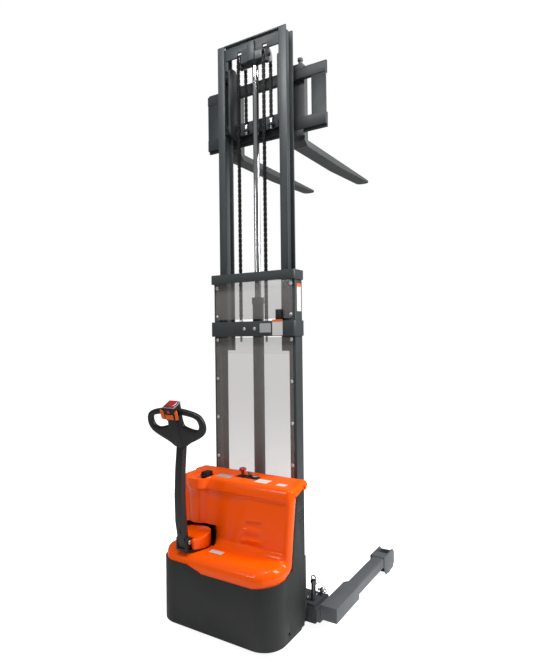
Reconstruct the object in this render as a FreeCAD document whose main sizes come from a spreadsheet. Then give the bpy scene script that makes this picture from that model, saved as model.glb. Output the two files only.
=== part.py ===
import FreeCAD, Part
import math
import os
import re
import Sketcher

# A walkie straddle stacker: a battery truck body with a tiller, a two-stage mast, a fork carriage
# and two straddle legs that slide in and out of a cross tube.
# Frame: +Z up, +Y towards the fork tips, +X to the operator's right, millimetres.
# Heights start at the floor. In the tables below Y starts at the front of the mast and the whole
# truck is then moved by mast_y, so that the origin lies under the middle of its overall box.

doc = FreeCAD.newDocument("walkie_stacker")

# ---------------------------------------------------------------- driving dimensions
SIZES = {
    # truck body
    "body_width": 800,         # over the skirt
    "body_depth": 426,         # mast front to skirt front
    "skirt_wall": 4,
    "skirt_corner": 130,       # plan radius of the two front corners
    "skirt_z": 42,             # underside of the skirt
    "skirt_low": 364,          # top edge of the skirt in front, right of the drive unit
    "skirt_high": 398,         # top edge of the skirt in front, at the drive unit
    "skirt_side": 820,         # top edge of the skirt beside the cover
    "skirt_back": 70,          # skirt's rear edge in front of the mast
    "cover_wall": 5,
    "cover_gap": 1,
    "cover_top": 840,
    "deck_z": 462,             # low deck of the cover
    "column_radius": 84,       # half round column behind the tiller
    "column_z": 566,           # underside of that column
    # drive unit
    "drive_x": -216,
    "wheel_room": 17,          # drive wheel behind the skirt's front wall
    "wheel_radius": 105,
    "wheel_width": 70,
    "mount_z": 312,            # top of the plate that carries the drive unit
    "mount_plate": 12,
    "ring_radius": 64,
    "caster_x": 268,
    "caster_y": -294,
    "caster_radius": 65,
    "caster_trail": 36,
    # mast
    "mast_height": 2087,
    "rail_out": 303,           # outside of the outer rails
    "rail_front": 30,          # outer rails behind the mast front
    "rail_depth": 88,
    "rail_flange": 44,
    "rail_web": 8,
    "flange_wall": 9,
    "mast_gap": 3,             # between outer rail and inner rail
    "inner_front": 35,
    "inner_depth": 92,
    "inner_flange": 52,
    "inner_wall": 10,
    "inner_length": 1970,
    "inner_low_z": 175,        # foot of the inner mast when it is down
    "stage_overlap": 475,      # length of inner mast left inside the outer mast at full lift
    "tie_wall": 8,
    "tie_corner": 20,
    "top_tie": 57,
    "mid_tie": 93,
    "mid_tie_drop": 397,       # underside of the middle tie below the top of the mast
    "screen_wall": 3,
    "screen_half": 286,
    # cylinder and chains
    "barrel_radius": 35,
    "barrel_bore": 27,
    "rod_radius": 20,
    "cylinder_clear": 2,       # between the barrel and the tie that passes in front of it
    "gland_drop": 152,         # top of the cylinder below the top of the mast
    "run_clear": 0.06,         # radial clearance of shafts and the rod
    "sheave_x": 95,
    "sheave_y": 80,
    "sheave_radius": 35,
    "sheave_width": 24,
    "sheave_drop": 120,        # sheave axle below the top of the inner mast
    "chain_width": 20,
    "chain_thick": 14,
    # carriage and forks
    "carriage_half": 450,
    "carriage_low_z": 110,     # underside of the fork bars when the forks are down
    "carriage_height": 406,
    "bar_y": 173,
    "bar_thick": 30,
    "fork_width": 100,
    "fork_thick": 40,
    "fork_length": 1070,
    "fork_x": 242,
    "fork_drop": 76,           # fork underside below the lower bar
    # straddle legs
    "base_half": 437,
    "base_front": -20,
    "base_depth": 180,
    "base_z": 40,
    "base_top": 135,
    "base_wall": 8,
    "pin_in": 38,              # lock pin inside the end of the cross tube
    "pin_back": 56,
    "leg_in": 462,             # inner side of the leg's heel
    "heel_width": 103,
    "leg_top": 150,
    "leg_heel_z": 68,
    "leg_beam_z": 90,
    "heel_length": 325,
    "leg_end": 985,
    "leg_travel": 105,
    "load_wheel_radius": 42,
    "load_wheel_width": 74,
    "load_wheel_y": 915,
    # tiller
    "pivot_reach": 92,         # tiller pivot in front of the steering axis
    "pivot_z": 512,
    "arm_width": 50,
    "arm_depth": 40,
    "head_z": 1052,            # underside of the tiller head
    "head_half": 212,
    "head_thick": 30,
    "head_tilt": 17,           # degrees that the head leans towards the operator
}

# ---------------------------------------------------------------- sizes worked out from them
DERIVED = {
    "drive_y": "wheel_radius + wheel_room + skirt_wall - body_depth",
    "pivot_y": "drive_y - pivot_reach",
    "fork_face": "bar_y + bar_thick + 0.5 + fork_thick",
    "head_y": "pivot_y - 13",
    "head_foot": "head_z + 6.5",
    "head_front": "head_y - (head_thick / 2 + 21) * cos(head_tilt) - 262 * sin(head_tilt)",
    "mast_y": "-(head_front + fork_face + fork_length) / 2",
    "half": "body_width / 2",
    "cover_half": "half - skirt_wall - cover_gap",
    "rail_z": "base_top",
    "rail_top": "mast_height - 12",
    "rail_in": "rail_out - rail_flange",
    "inner_out": "rail_in - mast_gap",
    "inner_in": "inner_out - inner_flange",
    "inner_web": "inner_in + inner_flange / 2",
    "mid_tie_z": "mast_height - mid_tie_drop",
    "gland_z": "mast_height - gland_drop",
    "cylinder_y": "inner_front + 20 + cylinder_clear + barrel_radius",
    "lift_travel": "rail_top - stage_overlap - inner_low_z",
    "inner_z": "inner_low_z + lift_travel",
    "inner_top": "inner_z + inner_length",
    "sheave_z": "inner_top - sheave_drop",
    "chain_outer": "sheave_radius + chain_thick",
    "chain_front": "sheave_y - chain_outer",
    "anchor_z": "mid_tie_z + mid_tie + 10",
    "car_z": "carriage_low_z + 2 * lift_travel",
    "plate_x": "inner_in - 26",
    "roller_radius": "inner_depth / 2 - inner_wall - 0.5",
    "roller_y": "inner_front + inner_depth / 2",
    "outer_roller_radius": "rail_depth / 2 - flange_wall - 0.5",
    "outer_roller_y": "rail_front + rail_depth / 2",
    "leg_out": "leg_in + heel_width",
    "leg_mid": "leg_in + heel_width / 2",
    "rod_foot": "gland_z - 85",
    "drop_anchor_z": "car_z + 104",
}

sheet = doc.addObject("Spreadsheet::Sheet", "Sizes")
for row, (alias, value) in enumerate(SIZES.items(), 1):
    sheet.set(f"A{row}", alias)
    sheet.set(f"B{row}", str(value))
    sheet.setAlias(f"B{row}", alias)
doc.recompute()

X, Y, Z = FreeCAD.Vector(1, 0, 0), FreeCAD.Vector(0, 1, 0), FreeCAD.Vector(0, 0, 1)
TURN = {"x": FreeCAD.Rotation(Y, 90), "y": FreeCAD.Rotation(X, -90), "z": FreeCAD.Rotation()}
SIDES = (("left", "-1"), ("right", "1"))
CORD_RADIUS = 2
NODES = {}


def expand(text):
    """An expression in the words above, written out for the spreadsheet."""

    def word(found):
        name = found.group(0)
        if name in SIZES:
            return "Sizes." + name
        if name in DERIVED:
            return "(" + expand(DERIVED[name]) + ")"
        return name

    return re.sub(r"[A-Za-z_]\w*", word, str(text))


probe = doc.addObject("App::FeaturePython", "probe")
probe.addProperty("App::PropertyFloat", "Number")


def value(text):
    """The number that an expression gives now."""
    probe.setExpression("Number", expand(text))
    probe.recompute()
    return probe.Number


def node(name, thing):
    """Names the object that is one sub-part."""
    thing.Label = name
    NODES[name] = thing
    return thing


def bind(thing, **sizes):
    for key, text in sizes.items():
        thing.setExpression(key, expand(text))


def place(thing, x, y, z, rotation=None):
    if rotation is not None:
        thing.Placement.Rotation = rotation
    thing.setExpression("Placement.Base.x", expand(x))
    thing.setExpression("Placement.Base.y", expand(f"{y} + mast_y"))
    thing.setExpression("Placement.Base.z", expand(z))


def box(x0, x1, y0, y1, z0, z1):
    """A box between six planes."""
    thing = doc.addObject("Part::Box", "box")
    bind(thing, Length=f"({x1}) - ({x0})", Width=f"({y1}) - ({y0})", Height=f"({z1}) - ({z0})")
    place(thing, x0, y0, z0)
    return thing


def rod(axis, x, y, z, radius, length):
    """A cylinder that starts at a point and runs along +X, +Y or +Z."""
    thing = doc.addObject("Part::Cylinder", "rod")
    bind(thing, Radius=radius, Height=length)
    place(thing, x, y, z, TURN[axis])
    return thing


def hexagon(x, y, z, across, height):
    """A hexagon nut or bolt head on a vertical axis."""
    thing = doc.addObject("Part::Prism", "hexagon")
    thing.Polygon = 6
    bind(thing, Circumradius=f"({across}) / sqrt(3)", Height=height)
    place(thing, x, y, z)
    return thing


def fuse(*parts):
    thing = doc.addObject("Part::MultiFuse", "fuse")
    thing.Shapes = list(parts)
    thing.Refine = True
    return thing


def cut(base, *tools):
    thing = doc.addObject("Part::Cut", "cut")
    thing.Base = base
    thing.Tool = tools[0] if len(tools) == 1 else fuse(*tools)
    return thing


def group(*parts):
    """Separate solids that share one node."""
    thing = doc.addObject("Part::Compound", "group")
    thing.Links = list(parts)
    return thing


def tube(axis, x, y, z, radius, bore, length):
    inner = rod(axis, x, y, z, bore, length)
    return cut(rod(axis, x, y, z, radius, length), inner)


def prism(plane, points, low, high):
    """A sketch of straight edges, padded between two planes: a body with one sketch and one pad.
    plane xy pads along Z, xz along Y and yz along X."""
    body = doc.addObject("PartDesign::Body", "body")
    sketch = body.newObject("Sketcher::SketchObject", "outline")
    role = {"xy": "XY_Plane", "xz": "XZ_Plane", "yz": "YZ_Plane"}[plane]
    origin = next(f for f in body.Origin.OriginFeatures if f.Role == role)
    sketch.AttachmentSupport = [(origin, "")]
    sketch.MapMode = "FlatFace"
    offset = f"-({high})" if plane == "xz" else low
    sketch.setExpression("AttachmentOffset.Base.z", expand(offset))
    corners = [(value(a), value(b)) for a, b in points]
    count = len(corners)
    for i, corner in enumerate(corners):
        end = corners[(i + 1) % count]
        sketch.addGeometry(Part.LineSegment(FreeCAD.Vector(*corner, 0), FreeCAD.Vector(*end, 0)))
    for i in range(count):
        sketch.addConstraint(Sketcher.Constraint("Coincident", i, 2, (i + 1) % count, 1))
    for i, (corner, point) in enumerate(zip(corners, points)):
        for kind, number, text in zip(("DistanceX", "DistanceY"), corner, point):
            index = sketch.addConstraint(Sketcher.Constraint(kind, -1, 1, i, 1, number))
            sketch.setExpression(f"Constraints[{index}]", expand(text))
    pad = body.newObject("PartDesign::Pad", "pad")
    pad.Profile = sketch
    sketch.Visibility = False
    bind(pad, Length=f"({high}) - ({low})")
    body.setExpression("Placement.Base.y", expand("mast_y"))
    doc.recompute()
    return body


def edges(body, along, wanted):
    """Names of the tip's straight edges along one direction whose middle point is wanted."""
    shape = body.Tip.Shape
    names = []
    for index, edge in enumerate(shape.Edges, 1):
        if edge.Curve.TypeId != "Part::GeomLine" or edge.Length < 1e-6:
            continue
        if abs(abs(edge.tangentAt(edge.FirstParameter).dot(along)) - 1) > 1e-6:
            continue
        if wanted(edge.CenterOfMass):
            names.append(f"Edge{index}")
    return names


def round_off(body, radius, names):
    """A fillet on some edges of a body's tip."""
    tip = body.Tip
    fillet = body.newObject("PartDesign::Fillet", "fillet")
    fillet.Base = (tip, names)
    bind(fillet, Radius=radius)
    body.Tip = fillet
    doc.recompute()
    return body


def span(sign, a, b):
    """Two X limits on one side, in rising order."""
    low, high = f"({sign}) * ({a})", f"({sign}) * ({b})"
    return (low, high) if sign == "1" else (high, low)


# ---------------------------------------------------------------- chassis inside the skirt
def make_chassis():
    back = "base_front - 12"
    inner = "half - skirt_wall - 14"
    floor = box(f"-({inner})", inner, "-skirt_back - 56", back, "skirt_z + 4", "skirt_z + 16")
    wall = box(f"-({inner})", inner, back, "base_front", "skirt_z + 4", "mount_z + 110")
    cheeks = [box(*span(sign, "half - skirt_wall - 14", "half - skirt_wall - 0.5"),
                  "-skirt_back - 56", "-skirt_back", "skirt_z + 4", "skirt_low - 32")
              for sign in ("-1", "1")]
    posts = [box(*span(sign, "half - skirt_wall - 40", "half - skirt_wall - 14"),
                 "-skirt_back - 56", back, "mount_z - mount_plate", "mount_z + 110")
             for sign in ("-1", "1")]

    plate = prism("xy", [
        ("-(half - skirt_wall - 6)", "-skirt_back - 56"),
        ("-(half - skirt_wall - 6)", "-body_depth + skirt_corner"),
        ("-(half - skirt_wall - skirt_corner * 0.35)", "-body_depth + skirt_wall + skirt_corner * 0.35"),
        ("-(half - skirt_corner)", "-body_depth + skirt_wall + 6"),
        ("drive_x + 118", "-body_depth + skirt_wall + 6"),
        ("drive_x + 118", "-skirt_back - 56"),
    ], "mount_z - mount_plate", "mount_z")
    hole = rod("z", "drive_x", "drive_y", "mount_z - mount_plate - 1", "ring_radius + 1", "mount_plate + 2")
    tray = box("drive_x + 132", "drive_x + 344", "-body_depth + 30", "-skirt_back - 56",
               "skirt_z + 10", "skirt_z + 16")
    bearing = tube("z", "drive_x", "drive_y", "mount_z", "ring_radius + 20", "ring_radius + 1", 16)
    node("steering_bearing", bearing)
    reach = "caster_radius + caster_trail + 12"
    caster_plate = box("caster_x - 55", "caster_x + 55", "caster_y - 50", "-skirt_back - 56",
                       "2 * caster_radius + 22", "2 * caster_radius + 34")
    caster_web = box("caster_x - 55", "caster_x + 55", f"caster_y + {reach}", "-skirt_back - 56",
                     "skirt_z + 4", "2 * caster_radius + 22")
    node("chassis_frame", fuse(floor, wall, *cheeks, *posts, cut(plate, hole), tray, caster_plate,
                               caster_web))


# ---------------------------------------------------------------- skirt and moulded cover
def make_skirt():
    def shell(inset, low, high, back):
        corner = f"skirt_corner - {inset}"
        body = prism("xy", [
            (f"-(half - {inset})", f"-({back})"),
            (f"-(half - {inset})", f"-body_depth + {inset}"),
            (f"half - {inset}", f"-body_depth + {inset}"),
            (f"half - {inset}", f"-({back})"),
        ], low, high)
        front = value(f"-body_depth + {inset}")
        return round_off(body, corner, edges(body, Z, lambda p: abs(p.y - front) < 1))

    outer = shell("0", "skirt_z", "skirt_side", "skirt_back")
    inner = shell("skirt_wall", "skirt_z - 1", "skirt_side + 1", "skirt_back - 1")
    # what the cover fills: above the deck line in front, and the sloped rear corner of the sides
    window = prism("yz", [
        ("-body_depth - 1", "skirt_high"), ("-body_depth + 150", "skirt_high"),
        ("-body_depth + 213", "skirt_high + 12"), ("-body_depth + 238", "skirt_side - 222"),
        ("-body_depth + 272", "skirt_side - 26"), ("-skirt_back + 1", "skirt_side"),
        ("-skirt_back + 1", "skirt_side + 2"), ("-body_depth - 1", "skirt_side + 2"),
    ], "-half - 1", "half + 1")
    step = prism("xz", [
        ("drive_x + 40", "skirt_high + 1"), ("drive_x + 78", "skirt_high - 12"),
        ("drive_x + 112", "skirt_low + 14"), ("drive_x + 150", "skirt_low"),
        ("half - skirt_corner", "skirt_low"), ("half + 1", "skirt_low + 22"),
        ("half + 1", "skirt_high + 1"),
    ], "-body_depth - 1", "-body_depth + 152")
    slots = [prism("yz", [
        ("-skirt_back - 76", f"skirt_side - {drop}"),
        ("-skirt_back - 4", f"skirt_side - {drop - 16}"),
        ("-skirt_back - 4", f"skirt_side - {drop - 22}"),
        ("-skirt_back - 76", f"skirt_side - {drop - 6}"),
    ], "-half - 1", "half + 1") for drop in (124, 146, 168)]
    heel = prism("yz", [("-skirt_back - 52", "skirt_z - 2"), ("-skirt_back + 2", "skirt_z - 2"),
                        ("-skirt_back + 2", "skirt_z + 46"), ("-skirt_back - 1", "skirt_z + 46")],
                 "-half - 1", "half + 1")
    tie_hole = rod("x", "-half - 1", "-body_depth + 172", "skirt_z + 43", 9, "2 * half + 2")
    node("lower_skirt", cut(outer, inner, window, step, heel, tie_hole, *slots))


COVER = [
    # Y and height of the cover's outside, from the front of the deck to the rear edge of the top
    ("-body_depth + skirt_wall + 1", "skirt_low - 30"),
    ("-body_depth + skirt_wall + 1", "deck_z - 46"),
    ("-body_depth + 26", "deck_z - 12"),
    ("-body_depth + 62", "deck_z"),
    ("-body_depth + 168", "deck_z"),
    ("-body_depth + 178", "deck_z + 26"),
    ("-body_depth + 213", "cover_top - 59"),
    ("-body_depth + 236", "cover_top"),
    ("-10", "cover_top"),
]


def cover_line(wall):
    """The outside line with the points moved down and back by one wall, for the hollow."""
    moved = [(f"{y} + {wall}", f"{z} - {wall}") for y, z in COVER[:-1]]
    return moved + [("0", f"cover_top - {wall}")]


def make_cover():
    outer = prism("yz", COVER + [("-10", "cover_top - 40"), ("-skirt_back", "cover_top - 40"),
                                 ("-skirt_back", "skirt_low - 30")], "-cover_half", "cover_half")
    corner = value("-body_depth + skirt_wall + 1")
    outer = round_off(outer, "skirt_corner - skirt_wall - 1",
                      edges(outer, Z, lambda p: abs(p.y - corner) < 1))
    hollow = prism("yz", cover_line("cover_wall")[1:] + [
        ("0", "skirt_low - 31"), ("-body_depth + skirt_wall + 1 + cover_wall", "skirt_low - 31"),
    ], "-cover_half + cover_wall", "cover_half - cover_wall")
    inside = value("-body_depth + skirt_wall + 1 + cover_wall")
    hollow = round_off(hollow, "skirt_corner - skirt_wall - 1 - cover_wall",
                       edges(hollow, Z, lambda p: abs(p.y - inside) < 1))
    # the half round column in front of the drive unit's side, above the tiller hub
    column_x, column_y = "drive_x - 46", "-178"
    column = rod("z", column_x, column_y, "column_z", "column_radius", "cover_top - column_z")
    column_in = rod("z", column_x, column_y, "column_z + 8", "column_radius - cover_wall",
                    "cover_top - column_z - 8 - cover_wall")
    # the dark well that the tiller hub turns in
    well = rod("z", "drive_x", "drive_y", "deck_z - 60", 126, "column_z - deck_z + 60")
    post_hole = rod("z", "drive_x", "drive_y", "deck_z - 80", 84, 100)
    flange = rod("z", "drive_x", "drive_y", "deck_z - 60", 132, 60)
    flange_in = fuse(rod("z", "drive_x", "drive_y", "deck_z - 54", 126, 60),
                     rod("z", "drive_x", "drive_y", "deck_z - 61", 84, 20))
    panel_slot = box("-48", "106", "-110", "-36", "cover_top - cover_wall - 8", "cover_top + 1")
    liner = box("-256", "-192", "-206", "-104", "cover_top - 42", "cover_top - 2")
    plug_slot = box("-252", "-196", "-202", "-108", "cover_top - 38", "cover_top + 1")
    shell = fuse(cut(fuse(cut(outer, hollow), column), column_in), liner)
    shell = cut(shell, post_hole, well, panel_slot, plug_slot)
    return node("top_cover", fuse(shell, cut(flange, flange_in)))


def make_panel():
    stop_x, stop_y = "-14", "-80"
    key_x, key_y = "26", "-60"
    gauge_x, gauge_y = "74", "-74"
    panel = box("-47", "105", "-109", "-37", "cover_top - cover_wall - 8", "cover_top + 3")
    low = "cover_top - 34"
    panel = cut(panel, rod("z", stop_x, stop_y, low, 9, 60), rod("z", key_x, key_y, low, 10, 60))
    node("control_panel", fuse(panel, rod("z", gauge_x, gauge_y, "cover_top - 20", 18, 22),
                               tube("z", gauge_x, gauge_y, "cover_top + 3", 22, 17, 3)))
    node("switch_bodies", group(
        fuse(tube("z", stop_x, stop_y, low, 8.9, "5 + run_clear", 42),
             tube("z", stop_x, stop_y, "cover_top + 3", 15, "5 + run_clear", 5)),
        fuse(tube("z", key_x, key_y, low, 9.9, "3 + run_clear", 38),
             tube("z", key_x, key_y, "cover_top + 3", 13, "3 + run_clear", 5))))
    node("stop_button", fuse(rod("z", stop_x, stop_y, "cover_top - 24", 5, 50),
                             rod("z", stop_x, stop_y, "cover_top + 16", 11, 20),
                             rod("z", stop_x, stop_y, "cover_top + 34", 20, 13)))
    node("ignition_key", fuse(rod("z", key_x, key_y, "cover_top - 20", 3, 32),
                              box(f"{key_x} - 11", f"{key_x} + 11", f"{key_y} - 2", f"{key_y} + 2",
                                  "cover_top + 11", "cover_top + 28")))
    plug = [box("-245", "-203", "-194", "-134", "cover_top - 38", "cover_top + 22"),
            rod("y", "-224", "-135", "cover_top - 6", 9, 22)]
    plug += [box(f"-224 + {d}", f"-221 + {d}", "-214", "-193", "cover_top + 4", "cover_top + 12")
             for d in (-13, 10)]
    node("charger_plug", fuse(*plug))


# ---------------------------------------------------------------- machinery inside the body
def make_machinery():
    def battery(left):
        case = box(left, f"{left} + 96", "-body_depth + 34", "-body_depth + 290", "skirt_z + 16",
                   "skirt_z + 230")
        posts = [rod("z", f"{left} + 48", f"-body_depth + {back}", "skirt_z + 230", 8, 14)
                 for back in (60, 260)]
        return fuse(case, *posts)

    node("battery_pack", group(battery("drive_x + 140"), battery("drive_x + 240")))
    rear = "-36"
    tank = fuse(box("60", "270", "-150", rear, "mount_z + 112", "mount_z + 300"),
                rod("z", "100", "-95", "mount_z + 300", 18, 12))
    pump = fuse(rod("z", "322", "-92", "mount_z + 112", 46, 190),
                rod("z", "322", "-92", "mount_z + 302", 30, 16),
                box("270", "300", "-110", "-74", "mount_z + 130", "mount_z + 180"))
    node("pump_unit", fuse(tank, pump))
    grooves = [box(f"{-140 + 24 * i}", f"{-128 + 24 * i}", "-141", "-128", "mount_z + 140",
                   "mount_z + 320") for i in range(8)]
    charger = cut(box("-150", "40", "-140", rear, "mount_z + 130", "mount_z + 330"), *grooves)
    controller = fuse(
        box("-340", "-190", "-110", rear, "mount_z + 112", "mount_z + 190"),
        *[rod("y", f"{-320 + 36 * i}", "-122", "mount_z + 150", 5, 13) for i in range(4)])
    node("charger_and_controller", group(charger, controller))


# ---------------------------------------------------------------- steered drive unit
def make_drive():
    x, y, centre = "drive_x", "drive_y", "wheel_radius"
    side = "drive_x + wheel_width / 2 + 8"
    node("drive_gearbox", fuse(
        rod("z", x, y, "2 * wheel_radius + 14", "ring_radius - 2", "mount_z - 2 * wheel_radius - 14"),
        box(side, "drive_x + wheel_width / 2 + 28", "drive_y - 40", "drive_y + 40", centre,
            "2 * wheel_radius + 30"),
        rod("x", side, y, centre, 40, 20),
        rod("x", "drive_x - wheel_width / 2", y, centre, 14, "wheel_width + 9"),
        rod("z", x, y, "mount_z - 1", "ring_radius - 8", 20)))
    node("traction_motor", fuse(rod("z", x, y, "mount_z + 19", 56, "deck_z - mount_z - 85"),
                                rod("z", x, y, "deck_z - 66", 40, 14)))
    left = "drive_x - wheel_width / 2"
    node("drive_wheel", cut(
        tube("x", left, y, centre, "wheel_radius", "14 + run_clear", "wheel_width"),
        tube("x", f"{left} - 1", y, centre, "wheel_radius - 34", 34, 23),
        *[rod("x", f"{left} - 1", f"drive_y + {a}", f"wheel_radius + {b}", 5, "wheel_width + 2")
          for a, b in ((50, 0), (-50, 0), (0, 50), (0, -50))]))
    node("steering_hub", cut(
        fuse(rod("z", x, y, "deck_z - 52", 78, 52), rod("z", x, y, "deck_z", 108, 84)),
        box("drive_x - arm_width / 2 - 17", "drive_x + arm_width / 2 + 17", "drive_y - 130",
            "pivot_y + 29", "deck_z - 1", "deck_z + 90"),
        box("drive_x - 120", "drive_x + 120", "drive_y - 130", "drive_y - 78", "deck_z - 1",
            "deck_z + 90")))
    lug = ["-arm_width / 2 - 14", "arm_width / 2 + 0.5"]
    ears = [box(f"drive_x + {a}", f"drive_x + {a} + 13.5", "pivot_y - 24", "drive_y - 78",
                "deck_z + 2", "pivot_z + 24") for a in lug]
    foot = box("drive_x - arm_width / 2 - 14", "drive_x + arm_width / 2 + 14", "pivot_y - 24",
               "drive_y - 78", "deck_z + 2", "deck_z + 14")
    bores = rod("x", "drive_x - 80", "pivot_y", "pivot_z", "8 + run_clear", 160)
    node("tiller_yoke", cut(fuse(*ears, foot), bores))
    node("tiller_pin", fuse(rod("x", "drive_x - arm_width / 2 - 18", "pivot_y", "pivot_z", 8,
                                "arm_width + 36"),
                            rod("x", "drive_x + arm_width / 2 + 18", "pivot_y", "pivot_z", 13, 5),
                            rod("x", "drive_x - arm_width / 2 - 23", "pivot_y", "pivot_z", 13, 5)))


def make_caster():
    x, y = "caster_x", "caster_y"
    wheel_y = "caster_y + caster_trail"
    top = "2 * caster_radius + 16"
    node("caster_fork", fuse(
        rod("z", x, y, top, 34, 5.5),
        box("caster_x - 42", "caster_x + 42", "caster_y - 30", f"{wheel_y} + 18",
            "2 * caster_radius + 8", top),
        *[box(f"caster_x + {a}", f"caster_x + {a} + 6", f"{wheel_y} - 20", f"{wheel_y} + 18",
              "caster_radius - 16", "2 * caster_radius + 8") for a in (-42, 36)],
        rod("x", "caster_x - 42", wheel_y, "caster_radius", 8, 84)))
    node("caster_wheels", group(*[
        tube("x", f"caster_x + {a}", wheel_y, "caster_radius", "caster_radius", "8 + run_clear", 32)
        for a in (-34, 2)]))


# ---------------------------------------------------------------- outer mast
def make_outer_mast():
    def rail(side, sign):
        across = [f"({sign}) * ({t})" for t in ("rail_out", "rail_in", "rail_out - rail_web")]
        out, tip, web = across
        front, back = "rail_front", "rail_front + rail_depth"
        body = prism("xy", [
            (out, front), (out, back), (tip, back), (tip, f"{back} - flange_wall"),
            (web, f"{back} - flange_wall"), (web, f"{front} + flange_wall"),
            (tip, f"{front} + flange_wall"), (tip, front),
        ], "rail_z", "rail_top")
        edge_x = value(out)
        body = round_off(body, 5, edges(body, Z, lambda p: abs(p.x - edge_x) < 1))
        length = "rail_out - rail_web - inner_web - 5.5"
        start = {"1": "inner_web + 5.5", "-1": f"-(inner_web + 5.5) - ({length})"}[sign]
        return fuse(body, rod("x", start, "roller_y", "rail_top - 50", 10, length))

    node("outer_rails", group(*[rail(side, sign) for side, sign in SIDES]))

    def tie(low, height):
        side, back = "rail_out + tie_wall", "rail_front + rail_depth"

        def wrap(inset, bottom, top, end):
            body = prism("xy", [
                (f"-({side} - {inset})", end), (f"-({side} - {inset})", inset),
                (f"{side} - {inset}", inset), (f"{side} - {inset}", end),
            ], bottom, top)
            front = value(inset)
            return round_off(body, f"tie_corner - {inset} / 2",
                             edges(body, Z, lambda p: abs(p.y - front) < 1))

        outer = wrap("0", low, f"{low} + {height}", back)
        inner = wrap("tie_wall", f"{low} - 1", f"{low} + {height} + 1", f"{back} + 1")
        return cut(outer, inner)

    top_wrap = tie("mast_height - top_tie", "top_tie")
    mid_wrap = tie("mid_tie_z", "mid_tie")

    def screen(low, high):
        return box("-screen_half", "screen_half", "rail_front - screen_wall - 0.5", "rail_front - 0.5",
                   low, high)

    screw_x = "screen_half - 10"
    rows = [("cover_top - 6", "mid_tie_z - 6", [f"mid_tie_z - 22 - {250 * i}" for i in range(4)]),
            ("mid_tie_z + mid_tie + 14", "mast_height - top_tie / 2",
             ["mid_tie_z + mid_tie + 36", "mast_height - top_tie - 26"])]
    screws, screens = [], []
    for low, high, heights in rows:
        spots = [(f"({s}) * ({screw_x})", z) for s in ("-1", "1") for z in heights]
        holes = [rod("y", x, "rail_front - screen_wall - 2", z, 3.2, "screen_wall + 4")
                 for x, z in spots]
        screens.append(cut(screen(low, high), *holes))
        for x, z in spots:
            head = rod("y", x, "rail_front - screen_wall - 4.5", z, 7, 4)
            shank = rod("y", x, "rail_front - screen_wall - 1", z, 3, "screen_wall + 8")
            screws.append(fuse(head, shank))
    node("guard_screens", group(*screens))
    node("screen_screws", group(*screws))

    shelf = box("-sheave_x - 36", "sheave_x + 36", "tie_wall", "chain_front + chain_thick",
                "anchor_z - 33", "anchor_z - 21")
    bolt_y = "chain_front + chain_thick / 2"
    holes = [rod("z", f"{s} * sheave_x", bolt_y, "anchor_z - 40", 7.3, 30) for s in (-1, 1)]
    node("outer_ties", group(top_wrap, fuse(mid_wrap, cut(shelf, *holes))))
    bolts = []
    for s in (-1, 1):
        x = f"{s} * sheave_x"
        bolts.append(fuse(
            rod("z", x, bolt_y, "mid_tie_z - 34", 6.8, "anchor_z - mid_tie_z + 24"),
            hexagon(x, bolt_y, "anchor_z - 46", "chain_thick - 2", 12.9),
            box(f"{x} - 9", f"{x} + 9", "chain_front + 0.5", "chain_front + chain_thick - 0.5",
                "anchor_z - 20.9", "anchor_z")))
    node("chain_anchor_bolts", group(*bolts))

    node("chain_risers", group(*[
        box(f"{s} * sheave_x - chain_width / 2", f"{s} * sheave_x + chain_width / 2", "chain_front",
            "chain_front + chain_thick", "anchor_z + 0.2", "sheave_z - 0.2") for s in (-1, 1)]))

    foot = "rail_z"
    barrel = cut(rod("z", "0", "cylinder_y", foot, "barrel_radius", f"gland_z - 40 - {foot}"),
                 rod("z", "0", "cylinder_y", f"{foot} + 14", "barrel_bore", f"gland_z - 40 - {foot}"))
    port = rod("x", "barrel_radius - 3", "cylinder_y", f"{foot} + 60", 9, 22)
    port_bore = rod("x", "barrel_bore - 3", "cylinder_y", f"{foot} + 60", 4, 40)
    gland = tube("z", "0", "cylinder_y", "gland_z - 40", "barrel_radius + 4", "rod_radius + run_clear", 40)
    node("cylinder_barrel", fuse(cut(fuse(barrel, port), port_bore), gland))
    node("outer_rollers", group(*[
        tube("x", f"({sign}) * inner_web + ({near})", "roller_y", "rail_top - 50", "roller_radius",
             "10 + run_clear", 20) for sign, near in (("1", "5.5"), ("-1", "-25.5"))]))

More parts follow.
